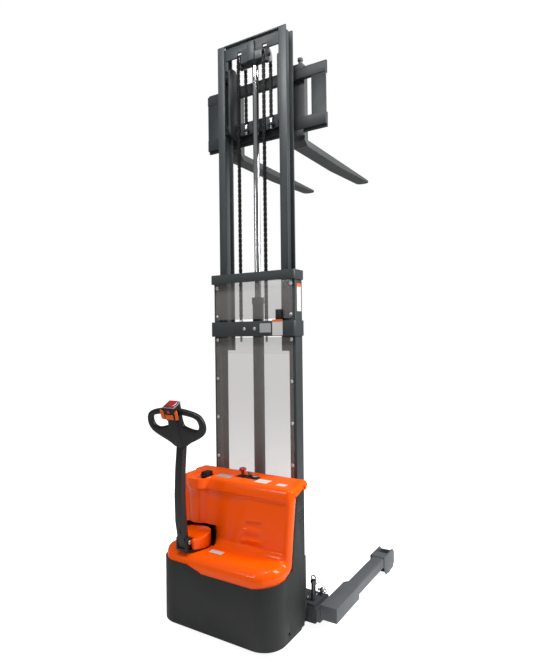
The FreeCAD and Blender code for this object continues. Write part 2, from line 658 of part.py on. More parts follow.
# ---------------------------------------------------------------- inner mast
def make_inner_mast():
    def rail(side, sign):
        inn, out = f"({sign}) * inner_in", f"({sign}) * inner_out"
        near, far = f"({sign}) * (inner_web - 4)", f"({sign}) * (inner_web + 4)"
        front, back = "inner_front", "inner_front + inner_depth"
        f1, b1 = "inner_front + inner_wall", "inner_front + inner_depth - inner_wall"
        body = prism("xy", [
            (inn, front), (out, front), (out, f1), (far, f1), (far, b1), (out, b1),
            (out, back), (inn, back), (inn, b1), (near, b1), (near, f1), (inn, f1),
        ], "inner_z", "inner_top")
        length = "inner_out + 25 - inner_web - 4"
        start = {"1": "inner_web + 4", "-1": "-inner_out - 25"}[sign]
        return fuse(body, rod("x", start, "outer_roller_y", "inner_z + 50", 10, length))

    node("inner_rails", group(*[rail(side, sign) for side, sign in SIDES]))
    beam = box("-inner_in", "inner_in", "inner_front + 15", "inner_front + 27", "inner_top - 92",
               "inner_top")
    flange = box("-inner_in", "inner_in", "inner_front", "inner_front + 60", "inner_top - 8", "inner_top")
    notches = [box(f"{s} * sheave_x - sheave_width / 2 - 5", f"{s} * sheave_x + sheave_width / 2 + 5",
                   "inner_front + 14", "inner_front + 28", "inner_top - 93",
                   "sheave_z + chain_outer + 8") for s in (-1, 1)]
    top_beam = cut(fuse(beam, flange), *notches)

    low = "mid_tie_z + 8"
    web = box("-inner_in + 1", "inner_in - 1", "inner_front + 12", "inner_front + 20", low, f"{low} + 68")
    pads = [box(*span(sign, "inner_in - 34", "inner_in"), "inner_front", "inner_front + 12", low,
                f"{low} + 68") for sign in ("-1", "1")]
    node("inner_ties", group(top_beam, fuse(web, *pads)))

    rod_top = "sheave_z - 26"
    node("cylinder_rod", fuse(
        rod("z", "0", "cylinder_y", "rod_foot", "rod_radius", f"{rod_top} - rod_foot"),
        rod("z", "0", "cylinder_y", "rod_foot", "barrel_bore - run_clear", 30)))
    cheek = "sheave_x - sheave_width / 2 - 3"
    bar = box(f"-({cheek})", cheek, "sheave_y - 36", "cylinder_y + rod_radius + 6", rod_top,
              "inner_top - 92")
    block = box("-26", "26", "inner_front", "inner_front + 15", rod_top, "inner_top - 26")
    tongue = box("-26", "26", "inner_front + 8", "sheave_y - 35", rod_top, "inner_top - 92")
    axles = [rod("x", start, "sheave_y", "sheave_z", 12, f"sheave_x + sheave_width / 2 + 9 - ({cheek})")
             for start in (cheek, "-sheave_x - sheave_width / 2 - 9")]
    node("rod_crosshead", fuse(bar, block, tongue, *axles))
    node("chain_sheaves", group(*[
        cut(rod("x", f"{s} * sheave_x - sheave_width / 2", "sheave_y", "sheave_z", "chain_outer - 4",
                "sheave_width"),
            tube("x", f"{s} * sheave_x - chain_width / 2 - 0.3", "sheave_y", "sheave_z", "chain_outer + 5",
                 "sheave_radius", "chain_width + 0.6"),
            rod("x", f"{s} * sheave_x - sheave_width", "sheave_y", "sheave_z", "12 + run_clear",
                "2 * sheave_width")) for s in (-1, 1)]))

    def drop(side, sign):
        x = f"({sign}) * sheave_x"
        ring = tube("x", f"{x} - chain_width / 2", "sheave_y", "sheave_z", "chain_outer",
                    "sheave_radius + 0.3", "chain_width")
        lower = box(f"{x} - chain_width", f"{x} + chain_width", "sheave_y - chain_outer - 1",
                    "sheave_y + chain_outer + 1", "sheave_z - chain_outer - 1", "sheave_z")
        run = box(f"{x} - chain_width / 2", f"{x} + chain_width / 2", "sheave_y + sheave_radius + 0.3",
                  "sheave_y + chain_outer", "drop_anchor_z + 0.2", "sheave_z")
        return fuse(cut(ring, lower), run)

    node("chain_drops", group(*[drop(side, sign) for side, sign in SIDES]))
    foot = "inner_z + 50"
    node("inner_rollers", group(*[
        tube("x", start, "outer_roller_y", foot, "outer_roller_radius", "10 + run_clear", 20)
        for start in ("inner_out + 5", "-inner_out - 25")]))

# ---------------------------------------------------------------- carriage and forks
def make_carriage():
    bar_back = "bar_y + bar_thick"

    def plate(side, sign):
        low, high = span(sign, "plate_x", "plate_x + 15")
        body = prism("yz", [("roller_y - 21", "car_z + 30"), ("bar_y", "car_z + 30"),
                            ("bar_y", "car_z + carriage_height + 20"), ("bar_y - 45", "car_z + 480"),
                            ("roller_y - 21", "car_z + 480")], low, high)
        front = value("roller_y - 21")
        body = round_off(body, 34, edges(body, X, lambda p: abs(p.y - front) < 1))
        reach = "inner_web - 4 - 1 - plate_x - 15"
        starts = {"1": "plate_x + 14", "-1": f"-(plate_x + 15 + {reach})"}
        stubs = [rod("x", starts[sign], "roller_y", z, 14, f"{reach} + 1")
                 for z in ("car_z + 90", "car_z + 430")]
        return fuse(body, *stubs)

    reach = "inner_web - 4 - 1 - 20"
    for level, z in (("lower", "car_z + 90"), ("upper", "car_z + 430")):
        node(f"carriage_rollers_{level}", group(*[
            tube("x", start, "roller_y", z, "roller_radius", "14 + run_clear", 20)
            for start in (reach, f"-({reach}) - 20")]))

    top = "car_z + carriage_height"
    upper = prism("yz", [
        ("bar_y", f"{top} - 76"), (bar_back, f"{top} - 76"), (bar_back, top),
        (f"{bar_back} - 16", top), (f"{bar_back} - 16", f"{top} - 16"), ("bar_y", f"{top} - 16"),
    ], "-carriage_half", "carriage_half")
    lower = prism("yz", [
        ("bar_y", "car_z + 16"), (f"{bar_back} - 16", "car_z + 16"), (f"{bar_back} - 16", "car_z"),
        (bar_back, "car_z"), (bar_back, "car_z + 90"), ("bar_y", "car_z + 90"),
    ], "-carriage_half", "carriage_half")
    ends = [box(*span(sign, "carriage_half - 98", "carriage_half"), "bar_y + 3", "bar_y + 15",
                "car_z + 90", f"{top} - 76") for sign in ("-1", "1")]
    node("carriage_frame", fuse(upper, lower, *ends))
    behind = "max(sheave_y + chain_outer + 6; cylinder_y + barrel_radius + 8)"
    tie = box("-plate_x", "plate_x", behind, f"{behind} + 14", "car_z + 50", "car_z + 130")
    drop_y = "sheave_y + sheave_radius + chain_thick / 2"
    shelves = [box(f"{s} * sheave_x - 22", f"{s} * sheave_x + 22", "sheave_y + sheave_radius - 6",
                   f"{behind} + 1", "drop_anchor_z - 40", "drop_anchor_z - 28") for s in (-1, 1)]
    holes = [rod("z", f"{s} * sheave_x", drop_y, "drop_anchor_z - 50", 7, 30) for s in (-1, 1)]
    node("carriage_plates", fuse(*[plate(side, sign) for side, sign in SIDES],
                                 cut(fuse(tie, *shelves), *holes)))
    bolts = []
    for s in (-1, 1):
        x = f"{s} * sheave_x"
        bolts.append(fuse(
            rod("z", x, drop_y, "drop_anchor_z - 62", 6.5, 50),
            hexagon(x, drop_y, "drop_anchor_z - 52", "chain_thick - 2", 11.9),
            box(f"{x} - 9", f"{x} + 9", f"{drop_y} - 6", f"{drop_y} + 6", "drop_anchor_z - 27.9",
                "drop_anchor_z")))
    node("carriage_chain_bolts", group(*bolts))

    def fork(side, sign):
        low, high = span(sign, "fork_x - fork_width / 2", "fork_x + fork_width / 2")
        face, front = "fork_face", f"{bar_back} + 0.5"
        floor = "car_z - fork_drop"
        tip = f"{face} + fork_length"
        body = prism("yz", [
            (front, f"{floor} + 30"), (f"{front} + 30", floor), (f"{face} + fork_length * 0.5", floor),
            (tip, f"{floor} + fork_thick - 12"), (tip, f"{floor} + fork_thick"),
            (face, f"{floor} + fork_thick"), (face, f"{top} + 12"), (f"{face} - 10", f"{top} + 19"),
            (f"{front} - 28", f"{top} + 19"), (f"{front} - 28", f"{top} - 15"),
            (f"{front} - 17.2", f"{top} - 15"), (f"{front} - 17.2", f"{top} + 0.7"),
            (front, f"{top} + 0.7"), (front, "car_z - 0.7"), (f"{front} - 17.2", "car_z - 0.7"),
            (f"{front} - 17.2", "car_z + 15"), (f"{front} - 28", "car_z + 15"),
            (f"{front} - 28", "car_z - 18"), (front, "car_z - 18"),
        ], low, high)
        end = value(tip)
        body = round_off(body, "fork_width * 0.42", edges(body, Z, lambda p: abs(p.y - end) < 1))
        x = f"({sign}) * (fork_x + 22)"
        node(f"fork_{side}", fuse(body, rod("z", x, f"{face} - 40", f"{top} + 18", 12, 30),
                                  rod("z", x, f"{face} - 40", f"{top} + 48", 17, 16)))

    for side, sign in SIDES:
        fork(side, sign)


# ---------------------------------------------------------------- straddle base and legs
def make_base():
    y0, y1 = "base_front", "base_front + base_depth"
    outer = box("-base_half", "base_half", y0, y1, "base_z", "base_top")
    inner = box("-base_half - 1", "base_half + 1", f"{y0} + base_wall", f"{y1} - base_wall",
                "base_z + base_wall", "base_top - base_wall")
    pin_x, pin_y = "(base_half - pin_in)", "base_front + pin_back"
    studs = [(50, 118), (84, 64), (84, 22)]
    holes = [rod("z", f"{s} * {pin_x}", pin_y, "base_top - base_wall - 5", "8 + run_clear", 30)
             for s in (-1, 1)]
    holes += [rod("z", f"{s} * (base_half - {a})", f"base_front + {b}", "base_top - base_wall - 5", 5.2, 30)
              for s in (-1, 1) for a, b in studs]
    node("straddle_base", cut(outer, inner, *holes))

    def clamp(side, sign):
        low, high = span(sign, "base_half - 98", "base_half - 4")
        pad = box(low, high, "base_front + 6", "base_front + 150", "base_top", "base_top + 10")
        bores = [rod("z", f"({sign}) * {pin_x}", pin_y, "base_top - 1", 14, 20)]
        bores += [rod("z", f"({sign}) * (base_half - {a})", f"base_front + {b}", "base_top - 1", 5.2, 20)
                  for a, b in studs]
        ear_low, ear_high = span(sign, "base_half - 30", "base_half - 22")
        ear = box(ear_low, ear_high, "base_front + 122", "base_front + 148", "base_top + 9",
                  "base_top + 52")
        eye = rod("x", ear_low, "base_front + 135", "base_top + 38", 5.05, 8)
        housing = tube("z", f"({sign}) * {pin_x}", pin_y, "base_top", 15, "8 + run_clear", 46)
        return fuse(cut(fuse(pad, ear), *bores, eye), housing)

    node("clamp_plates", group(clamp("left", "-1"), clamp("right", "1")))
    bolts = []
    for s in (-1, 1):
        for a, b in studs:
            x, y = f"{s} * (base_half - {a})", f"base_front + {b}"
            bolts.append(fuse(rod("z", x, y, "base_top - base_wall + 0.1", 5, "base_wall + 18"),
                              hexagon(x, y, "base_top + 10.1", 17, 8)))
    node("clamp_bolts", group(*bolts))
    clips, cords = [], []
    for s in (-1, 1):
        x = f"{s} * (base_half - 26)"
        y, z = "base_front + 135", "base_top + 38"
        clips.append(fuse(rod("x", f"{x} - 16", y, z, 5, 32),
                          rod("x", f"{x} - {4 + 16 * s}", y, z, 8, 8),
                          tube("y", f"{x} + {22 * s}", f"{y} - 3", z, 12, 8, 6)))
    node("retaining_clips", group(*clips))
    node("clip_lanyards", group(*[lanyard(s) for s in (-1, 1)]))


LANYARD = [(-4, 135, 50), (-4, 135, 64), (-11, 131, 82), (-27, 120, 93), (-44, 108, 85), (-54, 98, 65),
           (-58, 92, 43), (-60, 90, 23), (-60, 90, 10)]


def lanyard(side):
    """The cord that ties the clip to the clamp plate: straight runs joined by tangent arcs, from
    the clip's ring over in a loop and down to the plate."""
    half, front, top = (value(w) for w in ("base_half", "base_front + mast_y", "base_top"))
    points = [FreeCAD.Vector(side * (half + a), front + b, top + c) for a, b, c in LANYARD]
    path, start = [], points[0]
    for before, corner, after in zip(points, points[1:], points[2:]):
        into, out = (corner - before), (after - corner)
        turn = into.getAngle(out)
        if turn < 1e-4:
            continue
        back = 0.45 * min(into.Length, out.Length)
        into.normalize()
        out.normalize()
        a, b = corner - into * back, corner + out * back
        radius = back / math.tan(turn / 2)
        inward = (out - into).normalize()
        middle = corner + inward * (radius / math.cos(turn / 2) - radius)
        path.append(Part.LineSegment(start, a).toShape())
        path.append(Part.Arc(a, middle, b).toShape())
        start = b
    path.append(Part.LineSegment(start, points[-1]).toShape())
    first = (points[1] - points[0]).normalize()
    ring = Part.Wire(Part.Circle(points[0], first, CORD_RADIUS).toShape())
    shape = Part.Wire(path).makePipeShell([ring], True, False)
    thing = doc.addObject("Part::Feature", "lanyard")
    thing.Shape = shape
    return thing


def make_leg(side, sign):
    y0, y1 = "base_front + base_wall + 1", "base_front + base_depth - base_wall - 1"
    z0, z1 = "base_z + base_wall + 1", "base_top - base_wall - 1"
    slide = box(*span(sign, "60", "leg_in + 1"), y0, y1, z0, z1)
    slot = box(*span(sign, "base_half - pin_in - leg_travel - 9", "base_half - pin_in + 9"),
               "base_front + pin_back - 9", "base_front + pin_back + 9", f"{z1} - 12", f"{z1} + 1")
    heel = box(*span(sign, "leg_in", "leg_out"), "-5", "heel_length", "leg_heel_z", "leg_top")
    beam = prism("xy", [
        (f"({sign}) * (leg_in + 22)", "heel_length - 1"), (f"({sign}) * (leg_out - 5)", "heel_length - 1"),
        (f"({sign}) * (leg_out - 5)", "leg_end - 170"), (f"({sign}) * (leg_in + 22)", "leg_end - 170"),
    ], "leg_beam_z", "leg_top")
    inside, step = f"({sign}) * leg_in", f"({sign}) * (leg_in + 30)"
    shoulder = prism("xy", [
        (inside, "heel_length - 1"), (step, "heel_length - 1"), (step, "heel_length + 26"),
        (f"({sign}) * (leg_in + 22)", "heel_length + 26"),
    ], "leg_beam_z", "leg_top")
    edge_x = value(f"({sign}) * (leg_out - 5)")
    top = value("leg_top")
    beam = round_off(beam, 12, edges(beam, Y, lambda p: abs(p.x - edge_x) < 1 and abs(p.z - top) < 1))
    cheeks = []
    for a, b in (("leg_in", "leg_in + 10"), ("leg_out - 10", "leg_out")):
        low, high = span(sign, a, b)
        cheek = prism("yz", [
            ("leg_end - 205", "leg_beam_z"), ("leg_end - 160", "load_wheel_radius - 16"),
            ("leg_end - 30", "load_wheel_radius - 16"), ("leg_end", "load_wheel_radius + 14"),
            ("leg_end", "leg_top - 22"), ("leg_end - 24", "leg_top + 4"), ("leg_end - 205", "leg_top + 4"),
        ], low, high)
        cheeks.append(cheek)
    deck = box(*span(sign, "leg_in + 9", "leg_out - 9"), "leg_end - 205", "leg_end - 122", "leg_top - 8",
               "leg_top + 4")
    rear = box(*span(sign, "leg_in + 9", "leg_out - 9"), "leg_end - 22", "leg_end - 8",
               "load_wheel_radius + 12", "leg_top - 14")
    start = {"1": "leg_in + 2", "-1": "-(leg_out - 2)"}[sign]
    axle = rod("x", start, "load_wheel_y", "load_wheel_radius", 8, "heel_width - 4")
    node(f"straddle_leg_{side}", cut(fuse(slide, heel, beam, shoulder, *cheeks, deck, rear, axle), slot))
    middle = f"({sign}) * leg_mid"
    node(f"load_wheel_{side}", tube("x", f"{middle} - load_wheel_width / 2", "load_wheel_y",
                                    "load_wheel_radius", "load_wheel_radius", "8 + run_clear",
                                    "load_wheel_width"))
    x, y = f"({sign}) * (base_half - pin_in)", "base_front + pin_back"
    node(f"lock_pin_{side}", fuse(
        rod("z", x, y, f"{z1} - 10", 8, 80),
        rod("z", x, y, "base_top + 46.1", 13, 64),
        rod("z", x, y, "base_top + 110", 17, 16),
        tube("y", x, f"{y} - 4", "base_top + 140", 16, 11, 8)))


# ---------------------------------------------------------------- tiller
def make_tiller():
    front, back = "pivot_y - arm_depth / 2", "pivot_y + arm_depth / 2"
    body = prism("yz", [
        (front, "pivot_z - 20"), (f"{front} - 26", "pivot_z + 120"), (f"{front} - 30", "pivot_z + 270"),
        (f"{front} - 22", "pivot_z + 420"), (f"{front} - 8", "head_z + 6"),
        (f"{back} - 14", "head_z + 6"), (f"{back} - 26", "pivot_z + 420"),
        (f"{back} - 30", "pivot_z + 270"), (f"{back} - 22", "pivot_z + 120"),
        (f"{back} - 4", "pivot_z - 20"),
    ], "drive_x - arm_width / 2", "drive_x + arm_width / 2")
    bore = rod("x", "drive_x - 40", "pivot_y", "pivot_z", "8 + run_clear", 80)
    node("tiller_arm", cut(body, bore))

    # the head: a flat loop that leans towards the operator, drawn upright and then tipped
    tilt = FreeCAD.Rotation(X, SIZES["head_tilt"])
    outline = [
        ("-42", "0"), ("42", "0"), ("62", "32"), ("head_half - 62", "66"), ("head_half - 16", "98"),
        ("head_half", "135"), ("head_half - 8", "190"), ("head_half - 28", "212"),
        ("head_half * 0.5", "232"), ("40", "240"), ("-40", "240"), ("-head_half * 0.5", "232"),
        ("-head_half + 28", "212"), ("-head_half + 8", "190"), ("-head_half", "135"),
        ("-head_half + 16", "98"), ("-head_half + 62", "66"), ("-62", "32"),
    ]
    hole = [("52", "138"), ("head_half - 76", "108"), ("head_half - 44", "122"),
            ("head_half - 34", "150"), ("head_half - 42", "184"), ("head_half - 62", "196"),
            ("52", "210")]
    mirrored = [(f"-({a})", b) for a, b in reversed(hole)]
    blanks = [prism("xz", outline, "-head_thick / 2", "head_thick / 2")]
    blanks += [prism("xz", points, "-head_thick", "head_thick") for points in (hole, mirrored)]
    for blank in blanks:
        blank.setExpression("Placement.Base.y", "0")

    def on_head(thing):
        """Puts a piece drawn in the head's own upright frame onto the tipped head."""
        place(thing, "drive_x", "head_y", "head_foot", tilt)
        return thing

    node("tiller_head", on_head(cut(*blanks)))

    def local(x0, x1, y0, y1, z0, z1):
        """A box in the head's own frame."""
        thing = box(x0, x1, y0, y1, z0, z1)
        thing.setExpression("Placement.Base.y", expand(y0))
        return thing

    def spindle(half_length, y, z, radius):
        """A rod across the head, in the head's own frame."""
        thing = rod("x", f"-({half_length})", y, z, radius, f"2 * ({half_length})")
        thing.setExpression("Placement.Base.y", expand(y))
        return thing

    face, cap_face = "-head_thick / 2 - 0.2", "-head_thick / 2 - 21"
    cap = fuse(local("-36", "36", cap_face, face, "176", "262"),
               local("-36", "36", f"{face} - 0.1", "28", "240.4", "262"))
    pocket = local("-25", "25", "-30", "14", "250", "263")
    paddle_axis = (f"{cap_face} + 7", "205")
    node("head_cap", on_head(cut(cap, pocket, spindle("40", *paddle_axis, "4 + run_clear"))))
    node("belly_button", on_head(group(local("-24.5", "24.5", "-29.5", "13.5", "254", "268"))))
    blades = [local(*span(sign, "36.6", "52"), f"{cap_face} + 2", f"{cap_face} + 12", "182", "228")
              for _, sign in SIDES]
    node("throttle_paddles", on_head(fuse(*blades, spindle("44", *paddle_axis, "4"))))
    rocker = local("-24", "24", f"{cap_face} - 6.5", f"{cap_face} - 1.7", "190", "214")
    node("lift_rocker", on_head(fuse(rocker, spindle("24", f"{cap_face} - 4.1", "202", "3"))))
    node("horn_button", on_head(group(local("-10", "10", f"{cap_face} - 5", f"{cap_face} - 2", "226",
                                            "244"))))


make_chassis()
make_skirt()
make_cover()
make_panel()
make_machinery()
make_drive()
make_caster()
make_outer_mast()
make_inner_mast()
make_carriage()
make_base()
for each_side, each_sign in SIDES:
    make_leg(each_side, each_sign)
make_tiller()

doc.removeObject(probe.Name)
doc.recompute()
failed = [o.Label for o in doc.Objects if any(s in ("Invalid", "Error") for s in o.State)]
bad = [n for n, o in NODES.items() if o.Shape.isNull() or not o.Shape.isValid() or not o.Shape.Solids]
if failed or bad:
    raise SystemExit(f"failed objects {failed}, bad shapes {bad}")
os.makedirs("parts", exist_ok=True)
for name, thing in NODES.items():
    thing.Shape.exportStep(f"parts/{name}.step")
print(len(NODES), "nodes written")
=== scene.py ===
"""The looks of a pedestrian straddle stacker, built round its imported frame.

Metres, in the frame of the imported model: +Z up, +Y towards the fork tips, +X to the right.
"""

import math

import bmesh
import bpy
from mathutils import Matrix, Quaternion, Vector


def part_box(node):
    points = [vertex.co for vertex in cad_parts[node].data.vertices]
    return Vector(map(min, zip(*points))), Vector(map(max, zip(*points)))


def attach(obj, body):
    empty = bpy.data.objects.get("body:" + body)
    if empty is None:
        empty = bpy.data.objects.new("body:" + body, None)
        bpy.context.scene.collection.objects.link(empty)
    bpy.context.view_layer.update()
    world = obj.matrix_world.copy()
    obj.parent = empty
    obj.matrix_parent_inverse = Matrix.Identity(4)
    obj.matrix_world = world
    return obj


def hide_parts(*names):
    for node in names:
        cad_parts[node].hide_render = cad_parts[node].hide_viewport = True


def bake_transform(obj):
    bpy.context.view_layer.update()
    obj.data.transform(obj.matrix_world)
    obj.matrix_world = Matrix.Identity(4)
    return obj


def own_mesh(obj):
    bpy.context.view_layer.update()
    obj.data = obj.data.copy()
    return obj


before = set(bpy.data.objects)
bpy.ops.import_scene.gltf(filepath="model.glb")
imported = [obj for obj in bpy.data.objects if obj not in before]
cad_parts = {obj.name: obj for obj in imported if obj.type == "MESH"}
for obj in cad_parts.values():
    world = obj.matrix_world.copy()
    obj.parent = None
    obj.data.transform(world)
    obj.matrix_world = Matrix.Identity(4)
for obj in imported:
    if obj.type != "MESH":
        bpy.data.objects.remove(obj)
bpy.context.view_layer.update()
mast_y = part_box("outer_ties")[0].y      # front face of the mast; depths below are counted from it


# ------------------------------------------------------------------ chassis and straddle base
# Welded steel plate and a wide rectangular tube across the front of the mast, sprayed with dark
# powder and baked. The chassis carries the drive unit, the caster and the batteries.

class Signal:
    """What comes out of a shader node. Arithmetic on it adds Math nodes."""

    def __init__(self, finish, socket):
        self.finish = finish
        self.socket = socket

    def math(self, operation, *terms):
        return self.finish.node("Math", {"operation": operation}, dict(enumerate(terms)))

    def __add__(self, other):
        return self.math("ADD", self, other)

    def __radd__(self, other):
        return self.math("ADD", other, self)

    def __mul__(self, other):
        return self.math("MULTIPLY", self, other)

    def __rmul__(self, other):
        return self.math("MULTIPLY", other, self)


class Finish:
    """The surface of a piece: a Principled shader and the nodes that feed it."""

    def __init__(self, name, fixed):
        self.material = bpy.data.materials.new(name)
        self.material.use_nodes = True
        self.tree = self.material.node_tree
        self.shader = self.tree.nodes["Principled BSDF"]
        for socket, value in fixed.items():
            self.shader.inputs[socket].default_value = value

    def node(self, kind, settings=None, inputs=None, output=0):
        """Adds a node: first its settings, then the values or links of its sockets."""
        made = self.tree.nodes.new("ShaderNode" + kind)
        for key, value in (settings or {}).items():
            setattr(made, key, value)
        for key, value in (inputs or {}).items():
            self.join(made.inputs[key], value)
        return Signal(self, made.outputs[output])

    def join(self, socket, value):
        if isinstance(value, Signal):
            self.tree.links.new(value.socket, socket)
        else:
            socket.default_value = value

    def feed(self, socket, value):
        self.join(self.shader.inputs[socket], value)

    def place(self):
        return self.node("TexCoord", output="Object")

    def noise(self, scale, detail=2.0, roughness=0.5, place=None):
        return self.node("TexNoise", None, {"Vector": place or self.place(), "Scale": scale,
                                            "Detail": detail, "Roughness": roughness})

    def stretched(self, x, y, z):
        """Object coordinates drawn out along some axes, for brushed or turned lines."""
        return self.node("Mapping", None, {"Vector": self.place(), "Scale": (x, y, z)})

    def mixed(self, share, first, second):
        """One colour running into another."""
        return self.node("Mix", {"data_type": "RGBA"},
                         {0: share, 6: (*first, 1), 7: (*second, 1)}, 2)

    def step(self, signal, low, high):
        """Nothing below low, all above high, and a soft step between."""
        return self.node("MapRange", {"interpolation_type": "SMOOTHSTEP"},
                         {"Value": signal, "From Min": low, "From Max": high})

    def relief(self, height, strength, depth):
        self.feed("Normal", self.node("Bump", None, {"Height": height, "Strength": strength,
                                                     "Distance": depth}))


def shade(colour, by):
    return tuple(min(1.0, c * by) for c in colour)


def powder_coat(name, colour, roughness):
    """Baked powder: a fine orange peel in the surface and a faint cloudiness in its gloss."""
    coat = Finish(name, {"Specular IOR Level": 0.26})
    cloud = coat.noise(5.0, 5.0, 0.6)
    coat.feed("Base Color", coat.mixed(cloud, shade(colour, 0.86), shade(colour, 1.16)))
    coat.feed("Roughness", roughness - 0.07 + 0.14 * coat.noise(14.0, 4.0))
    coat.relief(coat.noise(380.0, 2.0), 0.22, 0.0005)
    return coat


def finished(name, bm, finish, body, slot, *stands_for, crease=35):
    """Makes a piece of a mesh, in its finish, and hangs it on the body that it moves with.

    A piece that is shared by two bodies is given none here.
    """
    mesh = bpy.data.meshes.new(name)
    bm.to_mesh(mesh)
    bm.free()
    mesh.shade_smooth()
    mesh.set_sharp_from_angle(angle=math.radians(crease))
    mesh.materials.append(finish.material)
    piece = bpy.data.objects.new(name, mesh)
    bpy.context.scene.collection.objects.link(piece)
    if body:
        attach(piece, body)
    if stands_for:
        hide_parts(*stands_for)
    return piece


def sharp_edges(bm, angle):
    """The edges where two faces meet at more than an angle in degrees."""
    return [e for e in bm.edges if e.is_manifold and e.calc_face_angle() > math.radians(angle)]


def rounded(bm, edges, radius, segments, clamp=True):
    bmesh.ops.bevel(bm, geom=edges, offset=radius, offset_type="OFFSET", affect="EDGES",
                    segments=segments, profile=0.5, material=-1, clamp_overlap=clamp)


def eased(node, radius, sharp=35, segments=2):
    """A merged copy of a CAD part with its sharp edges rounded, as a grinder leaves them."""
    bm = bmesh.new()
    bm.from_mesh(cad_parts[node].data)
    bmesh.ops.remove_doubles(bm, verts=bm.verts, dist=2e-5)
    bmesh.ops.dissolve_limit(bm, angle_limit=math.radians(0.8), verts=bm.verts, edges=bm.edges,
                             use_dissolve_boundaries=False)
    rounded(bm, sharp_edges(bm, sharp), radius, segments)
    return bm


def carried(name, node, radius, finish, body, slot, **edges):
    """Makes a piece of a CAD part with its edges rounded, which stands for that part."""
    return finished(name, eased(node, radius, **edges), finish, body, slot, node)


dark_paint = powder_coat("dark_powder_coat", (0.040, 0.044, 0.048), 0.46)
carried("chassis_weldment", "chassis_frame", 0.0015, dark_paint, "truck", "dark_paint")
carried("straddle_cross_tube", "straddle_base", 0.003, dark_paint, "truck", "dark_paint")


# ------------------------------------------------------------------ batteries, pump and charger
# Two traction batteries in black moulded cases, a pump with its oil tank, and the charger and
# controller on the rear plate. All sit behind the skirt.

def moulded(name, colour, roughness, grain_depth=0.0004):
    """Grained plastic out of an etched tool."""
    plastic = Finish(name, {"Specular IOR Level": 0.3})
    plastic.feed("Base Color", plastic.mixed(plastic.noise(9.0, 4.0), shade(colour, 0.85),
                                             shade(colour, 1.2)))
    plastic.feed("Roughness", roughness - 0.05 + 0.1 * plastic.noise(30.0, 3.0))
    plastic.relief(plastic.noise(900.0, 1.0), 0.3, grain_depth)
    return plastic


def bare_steel(name, colour, roughness, lines):
    """Plated or machined steel. lines gives how far the tool marks are drawn out on each axis."""
    steel = Finish(name, {"Metallic": 1.0})
    marks = steel.noise(160.0, 3.0, 0.6, steel.stretched(*lines))
    steel.feed("Base Color", steel.mixed(steel.noise(12.0, 3.0), shade(colour, 0.8), colour))
    steel.feed("Roughness", roughness + 0.16 * marks)
    steel.relief(marks, 0.12, 0.0004)
    return steel


def surfaced(finish, *nodes):
    """Gives CAD parts whose shape is right their finish."""
    for node in nodes:
        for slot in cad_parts[node].material_slots:
            slot.material = finish.material


battery_case = moulded("battery_case", (0.028, 0.028, 0.030), 0.5)
pump_steel = powder_coat("pump_enamel", (0.03, 0.03, 0.032), 0.38)
alloy = bare_steel("cast_alloy", (0.62, 0.63, 0.64), 0.38, (1, 1, 1))
surfaced(battery_case, "battery_pack")
surfaced(pump_steel, "pump_unit")
surfaced(alloy, "charger_and_controller")


# ------------------------------------------------------------------ drive unit and caster
# A steered gearbox of cast iron under a vertical motor, with a polyurethane tyred wheel, and a
# swivel caster with two small wheels on the other side.

def polyurethane(name, colour):
    """A cast tyre: satin, a little dusty where it has rolled."""
    tyre = Finish(name, {"Specular IOR Level": 0.4})
    dust = tyre.step(tyre.noise(22.0, 5.0, 0.65), 0.45, 0.75)
    tyre.feed("Base Color", tyre.mixed(dust, colour, shade(colour, 1.9)))
    tyre.feed("Roughness", 0.42 + 0.3 * dust)
    tyre.relief(tyre.noise(260.0, 3.0), 0.25, 0.0006)
    return tyre


cast_iron = powder_coat("cast_iron_enamel", (0.028, 0.029, 0.031), 0.55)
motor_paint = powder_coat("motor_enamel", (0.022, 0.022, 0.024), 0.4)
ground_steel = bare_steel("ground_steel", (0.56, 0.56, 0.57), 0.24, (1, 1, 1))
black_tyre = polyurethane("black_polyurethane", (0.022, 0.022, 0.023))
surfaced(ground_steel, "steering_bearing")
surfaced(cast_iron, "drive_gearbox")
surfaced(motor_paint, "traction_motor")
surfaced(black_tyre, "drive_wheel", "caster_wheels")

zinc = bare_steel("zinc_plate", (0.72, 0.72, 0.74), 0.26, (1, 1, 1))
carried("caster_swivel_fork", "caster_fork", 0.0015, zinc, "caster", "zinc")


# ------------------------------------------------------------------ skirt
# One sheet of steel bent round the drive unit, sprayed charcoal, with three slanted louvres near
# the top of each side and a hole for the tie-down near the floor.

charcoal = powder_coat("charcoal_powder_coat", (0.019, 0.021, 0.020), 0.5)
carried("body_skirt", "lower_skirt", 0.003, charcoal, "truck", "skirt")


# ------------------------------------------------------------------ moulded cover
# One glossy orange moulding over the drive unit: a low deck with rounded edges, a wall with a
# raised border and a ribbed knee pad, a half round column on the left, and a flat top.

